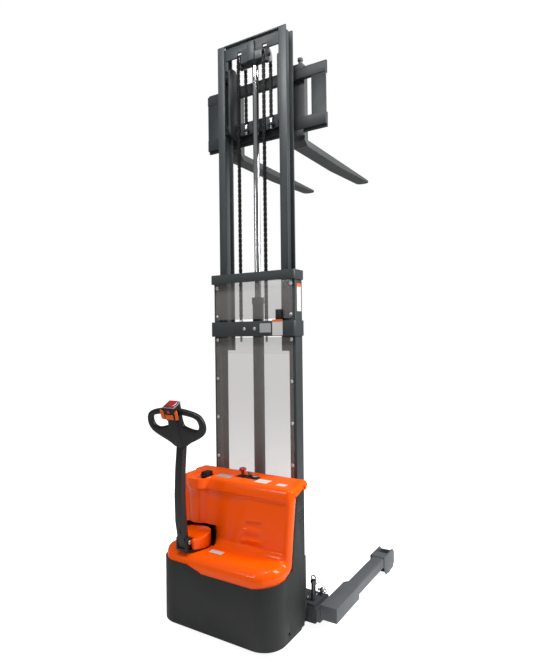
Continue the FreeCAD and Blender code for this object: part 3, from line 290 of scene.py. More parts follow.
half = 0.398                            # half of the cover's width
front_edge, rear_edge = -0.422, 0.014   # depths of the cover's two ends
top_front = -0.172                      # where the flat top begins
column_foot, cover_top = 0.566, 0.840
column = Vector((-0.262, -0.178))
column_radius = 0.084
hub = Vector((-0.216, -0.300))          # axis of the steered hub
hub_centre = Vector((hub.x, hub.y + mast_y, 0))
tray_depth, pocket_depth = 0.010, 0.030  # the tray on the column, and the plug's pocket in it
border_depth, fold_depth, pad_depth, rib_height = 0.012, 0.008, 0.010, 0.011
row_spacing, across = 0.0075, 106       # the moulding's mesh, along the section and across it
section = [                             # depth and height, from the hidden front edge to the rear
    (front_edge, 0.345), (front_edge, 0.385), (-0.420, 0.402), (-0.413, 0.420), (-0.402, 0.435),
    (-0.386, 0.448), (-0.366, 0.457), (-0.340, 0.461), (-0.284, 0.462), (-0.270, 0.464),
    (-0.259, 0.470), (-0.252, 0.480), (-0.248, 0.494), (-0.240, 0.560), (-0.2392, 0.566),
    (-0.2385, 0.572), (-0.214, 0.770), (-0.2125, 0.782), (-0.2095, 0.794), (-0.204, 0.812),
    (-0.199, 0.825), (-0.193, 0.834), (-0.184, 0.839), (top_front, 0.840), (-0.080, 0.840),
    (-0.030, 0.846), (0.003, 0.848), (0.010, 0.8465), (rear_edge, 0.841), (rear_edge, 0.812),
]


def soft_step(value, low, high):
    t = min(1.0, max(0.0, (value - low) / (high - low)))
    return t * t * (3 - 2 * t)


def inside(value, low, high, edge):
    """One between two limits, falling off softly over the width of an edge."""
    return soft_step(value, low - edge, low) * (1 - soft_step(value, high, high + edge))


def side_fall(x, z):
    """How far the moulding turns down towards its two sides."""
    radius = 0.058 - 0.030 * soft_step(z, 0.455, 0.50) + 0.008 * soft_step(z, 0.76, 0.84)
    over = min(radius, max(0.0, abs(x) - (half - radius)))
    return radius - math.sqrt(radius ** 2 - over ** 2)


def wall_relief(x, z):
    """Depth of the wall's pressed shapes: its border, the fold by the column, the knee pad."""
    border = inside(x, -0.345, 0.352, 0.022) * inside(z, 0.50, 0.762, 0.016)
    fold_x = 0.055 + 0.24 * (z - 0.45)
    fold = (1 - soft_step(x, fold_x - 0.085, fold_x)) * inside(z, 0.50, 0.720, 0.05)
    pad_top = 0.618 + 0.022 * soft_step(x, 0.06, 0.13)
    pad = (1 - soft_step(z, pad_top - 0.012, pad_top)) * soft_step(z, 0.47, 0.50)
    pad *= soft_step(x, fold_x - 0.02, fold_x + 0.015) * (1 - soft_step(x, 0.15, 0.28))
    depth = border_depth * border + fold_depth * fold + pad_depth * pad
    for ledge in (0.592, 0.530, 0.474):
        below = (ledge - z + 0.045 * (x - 0.12)) / 0.046
        if -0.12 < below < 1:
            rise = soft_step(below, -0.12, 0.0) * (1 - max(0.0, below))
            depth -= rib_height * rise * pad
    return depth


line = []
for (y, z), (next_y, next_z) in zip(section, section[1:]):
    steps = 1 + int(math.hypot(next_y - y, next_z - z) / row_spacing)
    line += [(y + (next_y - y) * i / steps, z + (next_z - z) * i / steps) for i in range(steps)]
line.append(section[-1])
bm = bmesh.new()
row = [bm.verts.new((-half, y, z)) for y, z in line]
front_row = [bm.edges.new(pair) for pair in zip(row, row[1:])]
for _ in range(across):
    swept = bmesh.ops.extrude_edge_only(bm, edges=front_row)["geom"]
    moved = [v for v in swept if isinstance(v, bmesh.types.BMVert)]
    bmesh.ops.translate(bm, vec=(2 * half / across, 0, 0), verts=moved)
    front_row = [e for e in swept if isinstance(e, bmesh.types.BMEdge)]
bm.normal_update()
if sum(f.normal.z for f in bm.faces) < 0:
    bmesh.ops.reverse_faces(bm, faces=bm.faces)
    bm.normal_update()
outward = {v: v.normal.copy() for v in bm.verts}
for v in bm.verts:
    x, y, z = v.co
    fall = side_fall(x, z)
    if y > -0.262 and z > 0.47:
        fall += wall_relief(x, z) * (1 - soft_step(y, -0.21, -0.20))
    v.co -= outward[v] * fall
    # the column swells out of the wall and carries the top forward with it
    off = abs(x - column.x)
    reach = 0
    if off < column_radius:
        reach = math.sqrt(column_radius ** 2 - off ** 2) - column.y
    bulge = reach + y if y < -0.19 else (reach - 0.19) * soft_step(-y, 0.10, 0.19)
    if z > column_foot - 0.003 and bulge > 0 and reach:
        blend = soft_step(column_radius - off, 0.0, 0.016)
        v.co.y -= bulge * blend
    # a shallow tray on top of the column, with the pocket for the plug in it
    if z > cover_top - 0.004 and off < column_radius and y > -0.188:
        tray = soft_step(column_radius - off, 0.012, 0.022)
        tray *= inside(v.co.y, -0.242, -0.075, 0.012)
        v.co.z -= tray_depth * tray
        pocket = inside(x, -0.250, -0.198, 0.004) * inside(v.co.y, -0.200, -0.110, 0.004)
        v.co.z -= pocket_depth * pocket
# the corners are rounded in plan, small at the rear of the top and large at the front
rear_corner, corner = 0.042, 0.130
for v in bm.verts:
    past = abs(v.co.x) - (half - rear_corner)
    if past > 0 and v.co.y > top_front and v.co.z > 0.78:
        rear = rear_edge - rear_corner + math.sqrt(max(0.0, rear_corner ** 2 - past ** 2))
        v.co.y = top_front + (v.co.y - top_front) * (rear - top_front) / (rear_edge - top_front)
for v in bm.verts:
    u = (abs(v.co.x) - (half - corner)) / corner
    w = (front_edge + corner - v.co.y) / corner
    if u > 0 and w > 0:
        u, w = min(u, 1.0), min(w, 1.0)
        round_u, round_w = u * math.sqrt(1 - w * w / 2), w * math.sqrt(1 - u * u / 2)
        v.co.x = math.copysign(half - corner + corner * round_u, v.co.x)
        v.co.y = front_edge + corner - corner * round_w
# the two sides are turned in behind the skirt
lip, inset = 0.034, 0.0045
for side in (-1, 1):
    rim = [e for e in bm.edges if e.is_boundary
           and all(side * v.co.x > half - 0.06 for v in e.verts)
           and abs(e.verts[0].co.x - e.verts[1].co.x) < 0.02]
    turned_in = bmesh.ops.extrude_edge_only(bm, edges=rim)["geom"]
    for v in (g for g in turned_in if isinstance(g, bmesh.types.BMVert)):
        lean = math.radians(90) * soft_step(v.co.z, 0.43, 0.50)
        lean *= 1 - soft_step(v.co.z, 0.78, 0.83)
        reach = lip - 0.030 * soft_step(v.co.y, -0.090, -0.068)
        v.co += Vector((-side * inset, reach * math.sin(lean), -reach * math.cos(lean)))
bmesh.ops.remove_doubles(bm, verts=bm.verts, dist=1e-4)
bmesh.ops.dissolve_degenerate(bm, edges=bm.edges, dist=1e-4)
bmesh.ops.recalc_face_normals(bm, faces=bm.faces)
if sum(f.normal.z * f.calc_area() for f in bm.faces) < 0:
    bmesh.ops.reverse_faces(bm, faces=bm.faces)
bmesh.ops.translate(bm, vec=(0, mast_y, 0), verts=bm.verts)


def gloss_moulding(name, colour):
    """Polished orange moulding: clear gloss, a trace of flow in the colour and in the surface."""
    gloss = Finish(name, {"Coat Roughness": 0.04, "Coat IOR": 1.45, "Specular IOR Level": 0.16})
    flow = gloss.noise(3.0, 3.0)
    gloss.feed("Base Color", gloss.mixed(flow, shade(colour, 0.93), shade(colour, 1.06)))
    gloss.feed("Roughness", 0.20 + 0.10 * gloss.noise(40.0, 4.0))
    gloss.feed("Coat Weight", 0.16 + 0.18 * flow)
    gloss.relief(gloss.noise(26.0, 2.0), 0.05, 0.0025)
    return gloss


orange = gloss_moulding("orange_moulding", (0.97, 0.098, 0.0004))
cover = finished("moulded_cover", bm, orange, "truck", "cover", "top_cover", crease=40)


def turned(outline, centre, axis=(0, 0, 1), steps=48):
    """Spins a half section, given as radius and height points, round an axis through a centre."""
    bm = bmesh.new()
    points = [bm.verts.new((radius, 0, height)) for radius, height in outline]
    edges = [bm.edges.new(pair) for pair in zip(points, points[1:])]
    bmesh.ops.spin(bm, geom=points + edges, cent=(0, 0, 0), axis=(0, 0, 1), angle=2 * math.pi,
                   steps=steps, use_merge=True)
    bmesh.ops.remove_doubles(bm, verts=bm.verts, dist=1e-6)
    bmesh.ops.recalc_face_normals(bm, faces=bm.faces)
    turn = Vector((0, 0, 1)).rotation_difference(Vector(axis)).to_matrix()
    bmesh.ops.rotate(bm, cent=(0, 0, 0), matrix=turn, verts=bm.verts)
    bmesh.ops.translate(bm, vec=centre, verts=bm.verts)
    return bm


# the round opening that the hub turns in is cut through the deck, and wider through the wall's
# foot, from just above the deck
deck_hole, foot_hole, foot_step = 0.088, 0.126, 0.4628
bm = turned([(0.0, 0.300), (deck_hole, 0.300), (deck_hole, foot_step), (foot_hole, foot_step),
             (foot_hole, column_foot), (0.0, column_foot)], hub_centre, steps=96)
cutter_mesh = bpy.data.meshes.new("hub_opening")
bm.to_mesh(cutter_mesh)
bm.free()
cutter = bpy.data.objects.new("hub_opening", cutter_mesh)
bpy.context.scene.collection.objects.link(cutter)
wall = cover.modifiers.new("wall", "SOLIDIFY")
wall.thickness = 0.004
wall.offset = -1
opening = cover.modifiers.new("hub_opening", "BOOLEAN")
opening.operation = "DIFFERENCE"
opening.solver = "EXACT"
opening.object = cutter
bpy.context.view_layer.update()
cut_cover = cover.evaluated_get(bpy.context.evaluated_depsgraph_get())
cut_mesh = bpy.data.meshes.new_from_object(cut_cover)
cover.modifiers.clear()
cover.data = cut_mesh
bpy.data.objects.remove(cutter)

# a black moulded bowl closes the opening under the deck
black_plastic = moulded("black_plastic", (0.009, 0.0085, 0.008), 0.46)
bowl = turned([(0.080, 0.402), (0.080, 0.409), (0.0865, 0.409), (0.0865, 0.4575), (0.1245, 0.4575),
               (0.1245, column_foot - 0.004), (0.131, column_foot - 0.004), (0.131, 0.4530),
               (0.0900, 0.4530), (0.0900, 0.402), (0.080, 0.402)],
              hub_centre, steps=72)
front_side = [f for f in bowl.faces if f.calc_center_median().z > 0.4515
              and f.calc_center_median().y < hub_centre.y + 0.045]
bmesh.ops.delete(bowl, geom=front_side, context="FACES")
finished("hub_well", bowl, black_plastic, "truck", "black_plastic")

# a blind moulded cup backs each tie-down hole low on the skirt's sides
cup_outline = [(0.0, -0.018), (0.0086, -0.018), (0.0086, -0.0012), (0.0110, -0.0048),
               (0.0110, -0.021), (0.0, -0.021)]
for side, name in ((-1, "left"), (1, "right")):
    cup = turned(cup_outline, (side * 0.4, mast_y - 0.254, 0.085), axis=(side, 0, 0), steps=32)
    finished(f"tie_down_cup_{name}", cup, black_plastic, "truck", "black_plastic")


# ------------------------------------------------------------------ blank plates on the cover
# Printed film or thin anodised plate stuck to the moulding. The real ones carry print; these are
# left blank, in the same sizes and colours.

def printed_film(name, colour):
    """Laminated film with a faint paper tooth."""
    film = Finish(name, {"Specular IOR Level": 0.5})
    film.feed("Base Color", film.mixed(film.noise(60.0, 4.0), shade(colour, 0.94), colour))
    film.feed("Roughness", 0.34 + 0.14 * film.noise(200.0, 2.0))
    film.relief(film.noise(700.0, 1.0), 0.12, 0.0003)
    return film


def brick(bm, size, centre=(0, 0, 0)):
    """Adds a plain brick to a mesh, to be shaped further."""
    made = bmesh.ops.create_cube(bm, size=1.0)["verts"]
    bmesh.ops.scale(bm, vec=size, verts=made)
    bmesh.ops.translate(bm, vec=centre, verts=made)
    return made


def plate(low, high, edge):
    """A thin plate between two corners, with its four corners cut round."""
    bm = bmesh.new()
    size = Vector(high) - Vector(low)
    brick(bm, size)
    thin = min(range(3), key=lambda i: size[i])
    upright = [e for e in bm.edges
               if abs((e.verts[0].co - e.verts[1].co)[thin]) > 0.9 * size[thin]]
    rounded(bm, upright, edge, 4, clamp=False)
    bmesh.ops.translate(bm, vec=(Vector(low) + Vector(high)) / 2, verts=bm.verts)
    return bm


white_film = printed_film("blank_white_film", (0.58, 0.57, 0.56))
grey_film = printed_film("blank_grey_film", (0.34, 0.345, 0.36))
labels = [("grey", (-0.166, -0.158, 0.8402), (-0.064, -0.100, 0.8410), grey_film),
          ("right", (0.112, -0.152, 0.8402), (0.196, -0.084, 0.8410), white_film),
          ("small", (0.262, -0.150, 0.8402), (0.318, -0.112, 0.8410), white_film),
          ("deck", (-0.074, -0.346, 0.4622), (0.014, -0.306, 0.4630), white_film)]
for name, low, high, film in labels:
    low, high = Vector(low), Vector(high)
    low.y += mast_y
    high.y += mast_y
    finished(f"blank_label_{name}", plate(low, high, 0.003), film, "truck", "grey_plastic")


# ------------------------------------------------------------------ control panel
# A black moulded plate let into the top: a battery gauge in a ring, the red mushroom stop switch
# and the key switch. The charger's plug stands in its pocket on the left.

gloss_black = moulded("black_switch_plastic", (0.014, 0.014, 0.015), 0.3)
carried("switch_panel", "control_panel", 0.0012, black_plastic, "truck", "black_plastic")
carried("switch_collars", "switch_bodies", 0.0008, gloss_black, "truck", "black_plastic")

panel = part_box("control_panel")
gauge_centre = (panel[1].x - 0.034, (panel[0].y + panel[1].y) / 2, panel[1].z)
bezel = turned([(0.0, -0.001), (0.0205, -0.001), (0.0205, 0.0022), (0.0192, 0.0036),
                (0.0172, 0.0036), (0.0160, 0.0012), (0.0, 0.0010)], gauge_centre)
finished("gauge_bezel", bezel, gloss_black, "truck", "black_plastic")
dial = turned([(0.0, 0.0012), (0.0158, 0.0013), (0.0150, 0.0019), (0.0, 0.0023)], gauge_centre)
finished("gauge_dial", dial, grey_film, "truck", "grey_plastic")


def red_gloss(name, colour):
    """Red switch plastic with a thin polished skin."""
    gloss = Finish(name, {"Specular IOR Level": 0.5, "Coat Roughness": 0.05})
    gloss.feed("Base Color", gloss.mixed(gloss.noise(20.0, 3.0), shade(colour, 0.85), colour))
    gloss.feed("Roughness", 0.24 + 0.12 * gloss.noise(90.0, 3.0))
    gloss.feed("Coat Weight", 0.3 + 0.2 * gloss.noise(15.0, 2.0))
    gloss.relief(gloss.noise(500.0, 1.0), 0.06, 0.0004)
    return gloss


stop_red = red_gloss("stop_switch_red", (0.32, 0.006, 0.010))
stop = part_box("stop_button")
stop_centre = ((stop[0].x + stop[1].x) / 2, (stop[0].y + stop[1].y) / 2, 0)
stop_outline = [(0.0, 0.816), (0.005, 0.816), (0.005, 0.856), (0.0108, 0.8565), (0.0112, 0.860),
                (0.0110, 0.872), (0.0135, 0.8750), (0.0205, 0.8765), (0.0222, 0.8795),
                (0.0216, 0.8850), (0.0180, 0.8905), (0.0110, 0.8935), (0.0, 0.8942)]
finished("stop_mushroom", turned(stop_outline, stop_centre), stop_red, "stop", "red_plastic",
         "stop_button")
carried("switch_key", "ignition_key", 0.0008, zinc, "key", "steel")
carried("stowed_charger_plug", "charger_plug", 0.003, black_plastic, "truck", "black_plastic",
        segments=3)


# ------------------------------------------------------------------ steered hub, yoke and pin
# An orange drum that turns with the tiller, slotted at the front for the arm, with a black steel
# yoke bolted in it and a plated pivot pin.

hub_radius, hub_foot, hub_height, crown_fall = 0.101, 0.4635, 0.0815, 0.020
flat_front, slot_back, slot_half = -0.079, -0.052, 0.0425
bm = bmesh.new()
bmesh.ops.create_circle(bm, cap_ends=True, segments=96, radius=hub_radius)
for co, no in [((0, flat_front, 0), (0, 1, 0)), ((-slot_half, 0, 0), (1, 0, 0)),
               ((slot_half, 0, 0), (1, 0, 0)), ((0, slot_back, 0), (0, 1, 0))]:
    bmesh.ops.bisect_plane(bm, geom=bm.verts[:] + bm.edges[:] + bm.faces[:], dist=1e-7,
                           plane_co=co, plane_no=no)
spare = []
for f in bm.faces:
    middle = f.calc_center_median()
    if middle.y < flat_front or (abs(middle.x) < slot_half and middle.y < slot_back):
        spare.append(f)
bmesh.ops.delete(bm, geom=spare, context="FACES")
bmesh.ops.dissolve_faces(bm, faces=bm.faces[:])
bmesh.ops.translate(bm, vec=(0, 0, hub_foot), verts=bm.verts)
raised = bmesh.ops.extrude_face_region(bm, geom=bm.faces[:])["geom"]
crown = [v for v in raised if isinstance(v, bmesh.types.BMVert)]
bmesh.ops.translate(bm, vec=(0, 0, hub_height), verts=crown)
for v in crown:
    v.co.z -= crown_fall * soft_step(-v.co.y, -0.02, 0.08)
bmesh.ops.recalc_face_normals(bm, faces=bm.faces)
rounded(bm, sharp_edges(bm, 40), 0.009, 4)
bmesh.ops.translate(bm, vec=hub_centre, verts=bm.verts)
finished("hub_drum", bm, orange, "steering", "cover")
neck = turned([(0.0, 0.410), (0.078, 0.410), (0.078, 0.458), (0.100, 0.4595), (0.104, 0.4615),
               (0.104, 0.466), (0.0, 0.466)], hub_centre, steps=64)
finished("hub_neck", neck, black_plastic, "steering", "black_plastic", "steering_hub")

black_paint = powder_coat("black_powder_coat", (0.016, 0.016, 0.017), 0.4)
carried("tiller_ears", "tiller_yoke", 0.003, black_paint, "steering", "black_paint", segments=3)
carried("pivot_pin", "tiller_pin", 0.0015, zinc, "steering", "zinc")


# ------------------------------------------------------------------ tiller arm
# A tapered box folded from steel sheet and sprayed black, with a moulded shoe at its foot.

arm_paint = powder_coat("tiller_powder_coat", (0.024, 0.024, 0.026), 0.42)
carried("tiller_shaft", "tiller_arm", 0.007, arm_paint, "tiller", "black_paint", sharp=50,
        segments=4)
shoe = plate((hub.x - 0.0262, -0.4125, 0.480), (hub.x + 0.0262, -0.3735, 0.528), 0.004)
bmesh.ops.translate(shoe, vec=(0, mast_y, 0), verts=shoe.verts)
rounded(shoe, sharp_edges(shoe, 40), 0.003, 2)
bmesh.ops.delete(shoe, geom=[f for f in shoe.faces if f.calc_center_median().z > 0.5275],
                 context="FACES_ONLY")
finished("tiller_shoe", shoe, black_plastic, "tiller", "black_plastic")
# the slot in the arm is not cut: a thin gloss-black plate lies on the arm in its place, its dark
# painted shade of the opening
slot_low = Vector((hub.x - 0.0045, -0.4272, 0.556))
slot_shade_plate = plate(slot_low, slot_low + Vector((0.009, 0.0012, 0.034)), 0.002)
bmesh.ops.rotate(slot_shade_plate, cent=slot_low, matrix=Matrix.Rotation(math.radians(10.6), 3, "X"),
                 verts=slot_shade_plate.verts)
bmesh.ops.translate(slot_shade_plate, vec=(0, mast_y, 0), verts=slot_shade_plate.verts)
finished("tiller_slot_painted_shade", slot_shade_plate, gloss_black, "tiller", "black_plastic")


# ------------------------------------------------------------------ tiller head
# A black moulded loop with a hand hole on each side of a thick middle. Drawn upright in its own
# frame, as a flat cage that is then rounded, and tipped back onto the arm.

head_lean = 17                          # degrees
head_tilt = Matrix.Rotation(math.radians(head_lean), 3, "X")
head_foot = Vector((hub.x, -0.405 + mast_y, 1.0585))


def on_head(bm):
    """Tips a shape drawn in the head's own frame back, and sets it on the arm."""
    bmesh.ops.rotate(bm, cent=(0, 0, 0), matrix=head_tilt, verts=bm.verts)
    bmesh.ops.translate(bm, vec=head_foot, verts=bm.verts)
    return bm


rim_line = [(0.040, 0.243), (0.106, 0.236), (0.180, 0.218), (0.207, 0.188), (0.216, 0.136),
            (0.199, 0.094), (0.150, 0.062), (0.064, 0.026)]
hole_line = [(0.052, 0.207), (0.104, 0.201), (0.148, 0.193), (0.168, 0.180), (0.175, 0.150),
             (0.164, 0.124), (0.134, 0.111), (0.052, 0.136)]
bm = bmesh.new()
outer_loop = [bm.verts.new((x, 0, z)) for x, z in rim_line]
inner_loop = [bm.verts.new((x, 0, z)) for x, z in hole_line]
middle = [bm.verts.new((0, 0, z)) for z in (0.244, 0.208, 0.137, 0.024, -0.002)]
foot = bm.verts.new((0.040, 0, -0.002))
for i in range(7):
    bm.faces.new((outer_loop[i], outer_loop[i + 1], inner_loop[i + 1], inner_loop[i]))
bm.faces.new((middle[0], outer_loop[0], inner_loop[0], middle[1]))
bm.faces.new((middle[1], inner_loop[0], inner_loop[7], middle[2]))
bm.faces.new((middle[2], inner_loop[7], outer_loop[7], middle[3]))
bm.faces.new((middle[3], outer_loop[7], foot, middle[4]))
bmesh.ops.mirror(bm, geom=bm.verts[:] + bm.edges[:] + bm.faces[:], axis="X", merge_dist=1e-5)
bmesh.ops.recalc_face_normals(bm, faces=bm.faces)
front_faces = bm.faces[:]
thick = bmesh.ops.extrude_face_region(bm, geom=front_faces)["geom"]
half_thick = 0.0145
back = [v for v in thick if isinstance(v, bmesh.types.BMVert)]
bmesh.ops.translate(bm, vec=(0, half_thick, 0), verts=back)
bmesh.ops.translate(bm, vec=(0, -half_thick, 0),
                    verts=[v for v in bm.verts if abs(v.co.y) < 1e-6])
bmesh.ops.recalc_face_normals(bm, faces=bm.faces)
rounded(bm, sharp_edges(bm, 60), 0.006, 1)
loop = finished("handle_loop", on_head(bm), black_plastic, "tiller", "black_plastic",
                "tiller_head", crease=180)
rounding = loop.modifiers.new("rounding", "SUBSURF")
rounding.levels = rounding.render_levels = 2

# a raised spine runs from the arm up to the cap
spine = bmesh.new()
for v in brick(spine, (0.064, 0.030, 0.180), (0, -0.006, 0.086)):
    if v.co.z < 0.05:
        v.co.x *= 0.80
        v.co.y += 0.004 if v.co.y < 0 else 0.006
rounded(spine, spine.edges[:], 0.008, 4, clamp=False)
finished("handle_spine", on_head(spine), black_plastic, "tiller", "black_plastic")


# ------------------------------------------------------------------ head cap and controls
# A moulded cap holds the controls: the dark red belly button in a grey trim, orange butterfly
# paddles at both sides, an orange lift rocker in front and a small horn button.

orange_control = gloss_moulding("orange_control", (0.78, 0.125, 0.003))


def block(low, high, edge, segments=3):
    """A solid between two corners with every edge rounded."""
    bm = bmesh.new()
    low, high = Vector(low), Vector(high)
    brick(bm, high - low, (low + high) / 2)
    rounded(bm, bm.edges[:], edge, segments, clamp=False)
    return bm


def leaned(bm):
    """Leans the top of a shape towards the operator, as the cap's top leans."""
    for v in bm.verts:
        if v.co.z > 0.235:
            v.co.z += 0.20 * v.co.y
    return on_head(bm)


cap = block((-0.043, -0.037, 0.176), (0.043, 0.029, 0.268), 0.009, 4)
for v in cap.verts:
    v.co.x *= 0.86 + 0.14 * soft_step(v.co.z, 0.180, 0.240)
finished("control_cap", leaned(cap), black_plastic, "tiller", "black_plastic", "head_cap")

grey_trim = moulded("grey_trim", (0.20, 0.205, 0.21), 0.42)
trim = bmesh.new()
brick(trim, (0.0885, 0.0685, 0.005), (0, -0.004, 0.2645))
lid = [f for f in trim.faces if abs(f.normal.z) > 0.9]
bmesh.ops.inset_region(trim, faces=lid, thickness=0.0085, depth=0.0)
bmesh.ops.delete(trim, geom=[f for f in lid if f.is_valid], context="FACES_ONLY")
open_rims = [e for e in trim.edges if e.is_boundary]
bmesh.ops.bridge_loops(trim, edges=open_rims)
bmesh.ops.recalc_face_normals(trim, faces=trim.faces)
rounded(trim, sharp_edges(trim, 40), 0.0022, 3)
finished("belly_trim", leaned(trim), grey_trim, "tiller", "grey_plastic")

belly = block((-0.0345, -0.0310, 0.256), (0.0345, 0.0230, 0.2785), 0.0055, 4)
for v in belly.verts:
    if v.co.z > 0.270:
        v.co.z -= 0.0040 * (abs(v.co.x) / 0.0345) ** 2
finished("belly_pad", leaned(belly), stop_red, "belly_switch", "red_plastic", "belly_button")

blades = bmesh.new()
for side in (-1, 1):
    for v in brick(blades, (0.024, 0.010, 0.052), (side * 0.0505, -0.0335, 0.209)):
        if side * v.co.x > 0.05:
            v.co.z += 0.012 if v.co.z > 0.2 else 0.008
            v.co.y -= 0.004
rounded(blades, blades.edges[:], 0.0042, 3, clamp=False)
shaft = bmesh.ops.create_cone(blades, cap_ends=True, segments=24, radius1=0.0044,
                              radius2=0.0044, depth=0.096)["verts"]
crosswise = Matrix.Rotation(math.radians(90), 3, "Y")
bmesh.ops.rotate(blades, cent=(0, 0, 0), matrix=crosswise, verts=shaft)
bmesh.ops.translate(blades, vec=(0, -0.029, 0.205), verts=shaft)
finished("butterfly_paddles", on_head(blades), orange_control, "throttle", "orange_plastic",
         "throttle_paddles")
rocker = block((-0.029, -0.0430, 0.1895), (0.029, -0.0366, 0.2165), 0.0028)
finished("lift_rocker_key", on_head(rocker), orange_control, "rocker", "orange_plastic",
         "lift_rocker")
horn = block((-0.010, -0.0410, 0.226), (0.010, -0.0380, 0.244), 0.0012)
finished("horn_key", on_head(horn), stop_red, "horn", "red_plastic", "horn_button")


# ------------------------------------------------------------------ outer mast
# Two rolled channels, tied at the top and middle by plates folded round them, all sprayed slate
# grey. A shelf behind the middle tie holds the chain anchors.

mast_paint = powder_coat("mast_powder_coat", (0.037, 0.043, 0.045), 0.42)
carried("outer_channels", "outer_rails", 0.0018, mast_paint, "truck", "mast_paint")
carried("folded_ties", "outer_ties", 0.0022, mast_paint, "truck", "mast_paint")
carried("chain_anchors", "chain_anchor_bolts", 0.0006, zinc, "truck", "zinc")


def set_out(bm, places):
    """Repeats a small shape, drawn at the origin, at each of the places."""
    pattern = bm.verts[:] + bm.edges[:] + bm.faces[:]
    for spot in places:
        copy = bmesh.ops.duplicate(bm, geom=pattern)["geom"]
        copied = [v for v in copy if isinstance(v, bmesh.types.BMVert)]
        bmesh.ops.translate(bm, vec=spot, verts=copied)
    bmesh.ops.delete(bm, geom=[v for v in pattern if isinstance(v, bmesh.types.BMVert)],
                     context="VERTS")
    return bm


button_head = [(0.0, -0.0052), (0.0034, -0.0051), (0.0062, -0.0040), (0.0078, -0.0022),
               (0.0082, -0.0008), (0.0112, -0.0006), (0.0114, 0.0006), (0.0, 0.0006)]
tie_bolts = set_out(turned(button_head, (0, 0, 0), axis=(0, 1, 0), steps=24),
                    [(x, mast_y - 0.0004, 1.737) for x in (-0.046, 0.030)])
finished("tie_bolts", tie_bolts, zinc, "truck", "zinc")

silver_plate = bare_steel("anodised_plate", (0.62, 0.62, 0.63), 0.34, (1, 1, 12))
orange_film = printed_film("blank_orange_film", (0.72, 0.12, 0.02))
front = mast_y - 0.0012
stuck = mast_y - 0.0001
rail_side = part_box("outer_rails")[1].x
rail_stuck = rail_side - 0.0002
for name, low, high, edge, made_of in [
        ("rating_plate_blank", (0.069, front, 1.713), (0.150, stuck, 1.769), 0.003, silver_plate),
        ("tie_label_blank", (0.160, front, 1.694), (0.232, stuck, 1.776), 0.002, white_film),
        ("tie_label_head", (0.160, front - 0.0004, 1.776), (0.232, stuck, 1.790), 0.001,
         orange_film),
        ("rail_label_blank", (rail_stuck, mast_y + 0.050, 1.838),
         (rail_side + 0.0012, mast_y + 0.102, 1.985), 0.002, white_film),
        ("rail_label_head", (rail_stuck, mast_y + 0.050, 1.985),
         (rail_side + 0.0014, mast_y + 0.102, 2.006), 0.001, orange_film)]:
    finished(name, plate(low, high, edge), made_of, "truck", "grey_plastic")
stop_bracket = block((0.176, mast_y + 0.008, 1.780), (0.222, mast_y + 0.026, 1.852), 0.005)
finished("lift_stop_bracket", stop_bracket, black_paint, "truck", "black_paint")


# ------------------------------------------------------------------ guard screens
# Clear polycarbonate sheets between the operator and the mast, each held to the channels by
# pan-head screws on washers.

clear_sheet = Finish("clear_polycarbonate", {"Specular IOR Level": 0.5, "IOR": 1.58, "Alpha": 0.33,
                                             "Base Color": (0.25, 0.235, 0.225, 1)})
clear_sheet.feed("Roughness", 0.07 + 0.10 * clear_sheet.noise(7.0, 5.0, 0.7))
clear_sheet.relief(clear_sheet.noise(3.0, 2.0), 0.05, 0.004)
surfaced(clear_sheet, "guard_screens")

screen_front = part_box("guard_screens")[0].y
screw_places = [(side * 0.276, screen_front, z) for side in (-1, 1)
                for z in (0.918, 1.168, 1.418, 1.668, 1.819, 2.004)]
finished("screen_screw_heads",
         set_out(turned(button_head, (0, 0, 0), axis=(0, 1, 0), steps=20), screw_places), zinc,
         "truck", "zinc", "screen_screws")


# ------------------------------------------------------------------ lift cylinder
# A painted barrel standing on the cross tube, a threaded gland at its top, and a chromed rod that
# lifts the inner mast by a crosshead.

carried("lift_barrel", "cylinder_barrel", 0.0015, mast_paint, "truck", "mast_paint")
chrome = Finish("hard_chrome", {"Metallic": 1.0})
oil = chrome.noise(9.0, 4.0, 0.6, chrome.stretched(4, 4, 0.4))
chrome.feed("Base Color", chrome.mixed(oil, (0.60, 0.61, 0.64), (0.86, 0.87, 0.90)))
chrome.feed("Roughness", 0.05 + 0.10 * oil)
chrome.relief(chrome.noise(300.0, 1.0, 0.5, chrome.stretched(1, 1, 0.1)), 0.03, 0.0002)
surfaced(chrome, "cylinder_rod")
carried("crosshead", "rod_crosshead", 0.002, mast_paint, "inner_mast", "mast_paint")


# ------------------------------------------------------------------ inner mast, rollers, sheaves
# Two rolled I sections inside the channels, with a top beam and a lower tie, run on steel rollers.
# Two turned sheaves on the crosshead carry the chains.

carried("inner_sections", "inner_rails", 0.0018, mast_paint, "inner_mast", "mast_paint")
carried("inner_cross_ties", "inner_ties", 0.002, mast_paint, "inner_mast", "mast_paint")
roller_steel = bare_steel("roller_steel", (0.48, 0.48, 0.49), 0.28, (14, 1, 1))
surfaced(roller_steel, "outer_rollers", "inner_rollers", "carriage_rollers_lower",
         "carriage_rollers_upper", "chain_sheaves")


# ------------------------------------------------------------------ lift chains
# Two oiled leaf chains. Each runs from its anchor on the outer mast up over a sheave and down to
# the carriage. The fixed side and the carriage side are separate pieces.

oiled_chain = Finish("oiled_chain", {"Metallic": 0.85})
film = oiled_chain.noise(55.0, 4.0, 0.6)
oiled_chain.feed("Base Color", oiled_chain.mixed(film, (0.008, 0.008, 0.008),
                                                 (0.040, 0.039, 0.038)))
oiled_chain.feed("Roughness", 0.26 + 0.22 * film)
oiled_chain.relief(oiled_chain.noise(420.0, 2.0), 0.2, 0.0004)

pitch = 0.015875
sheave_axis = Vector((0, mast_y + 0.080, 3.450))
chain_line = 0.042                      # pin circle on the sheave
chain_x = 0.095                         # how far each chain runs from the middle
first_pin = 0.014                       # from a run's end to its first link


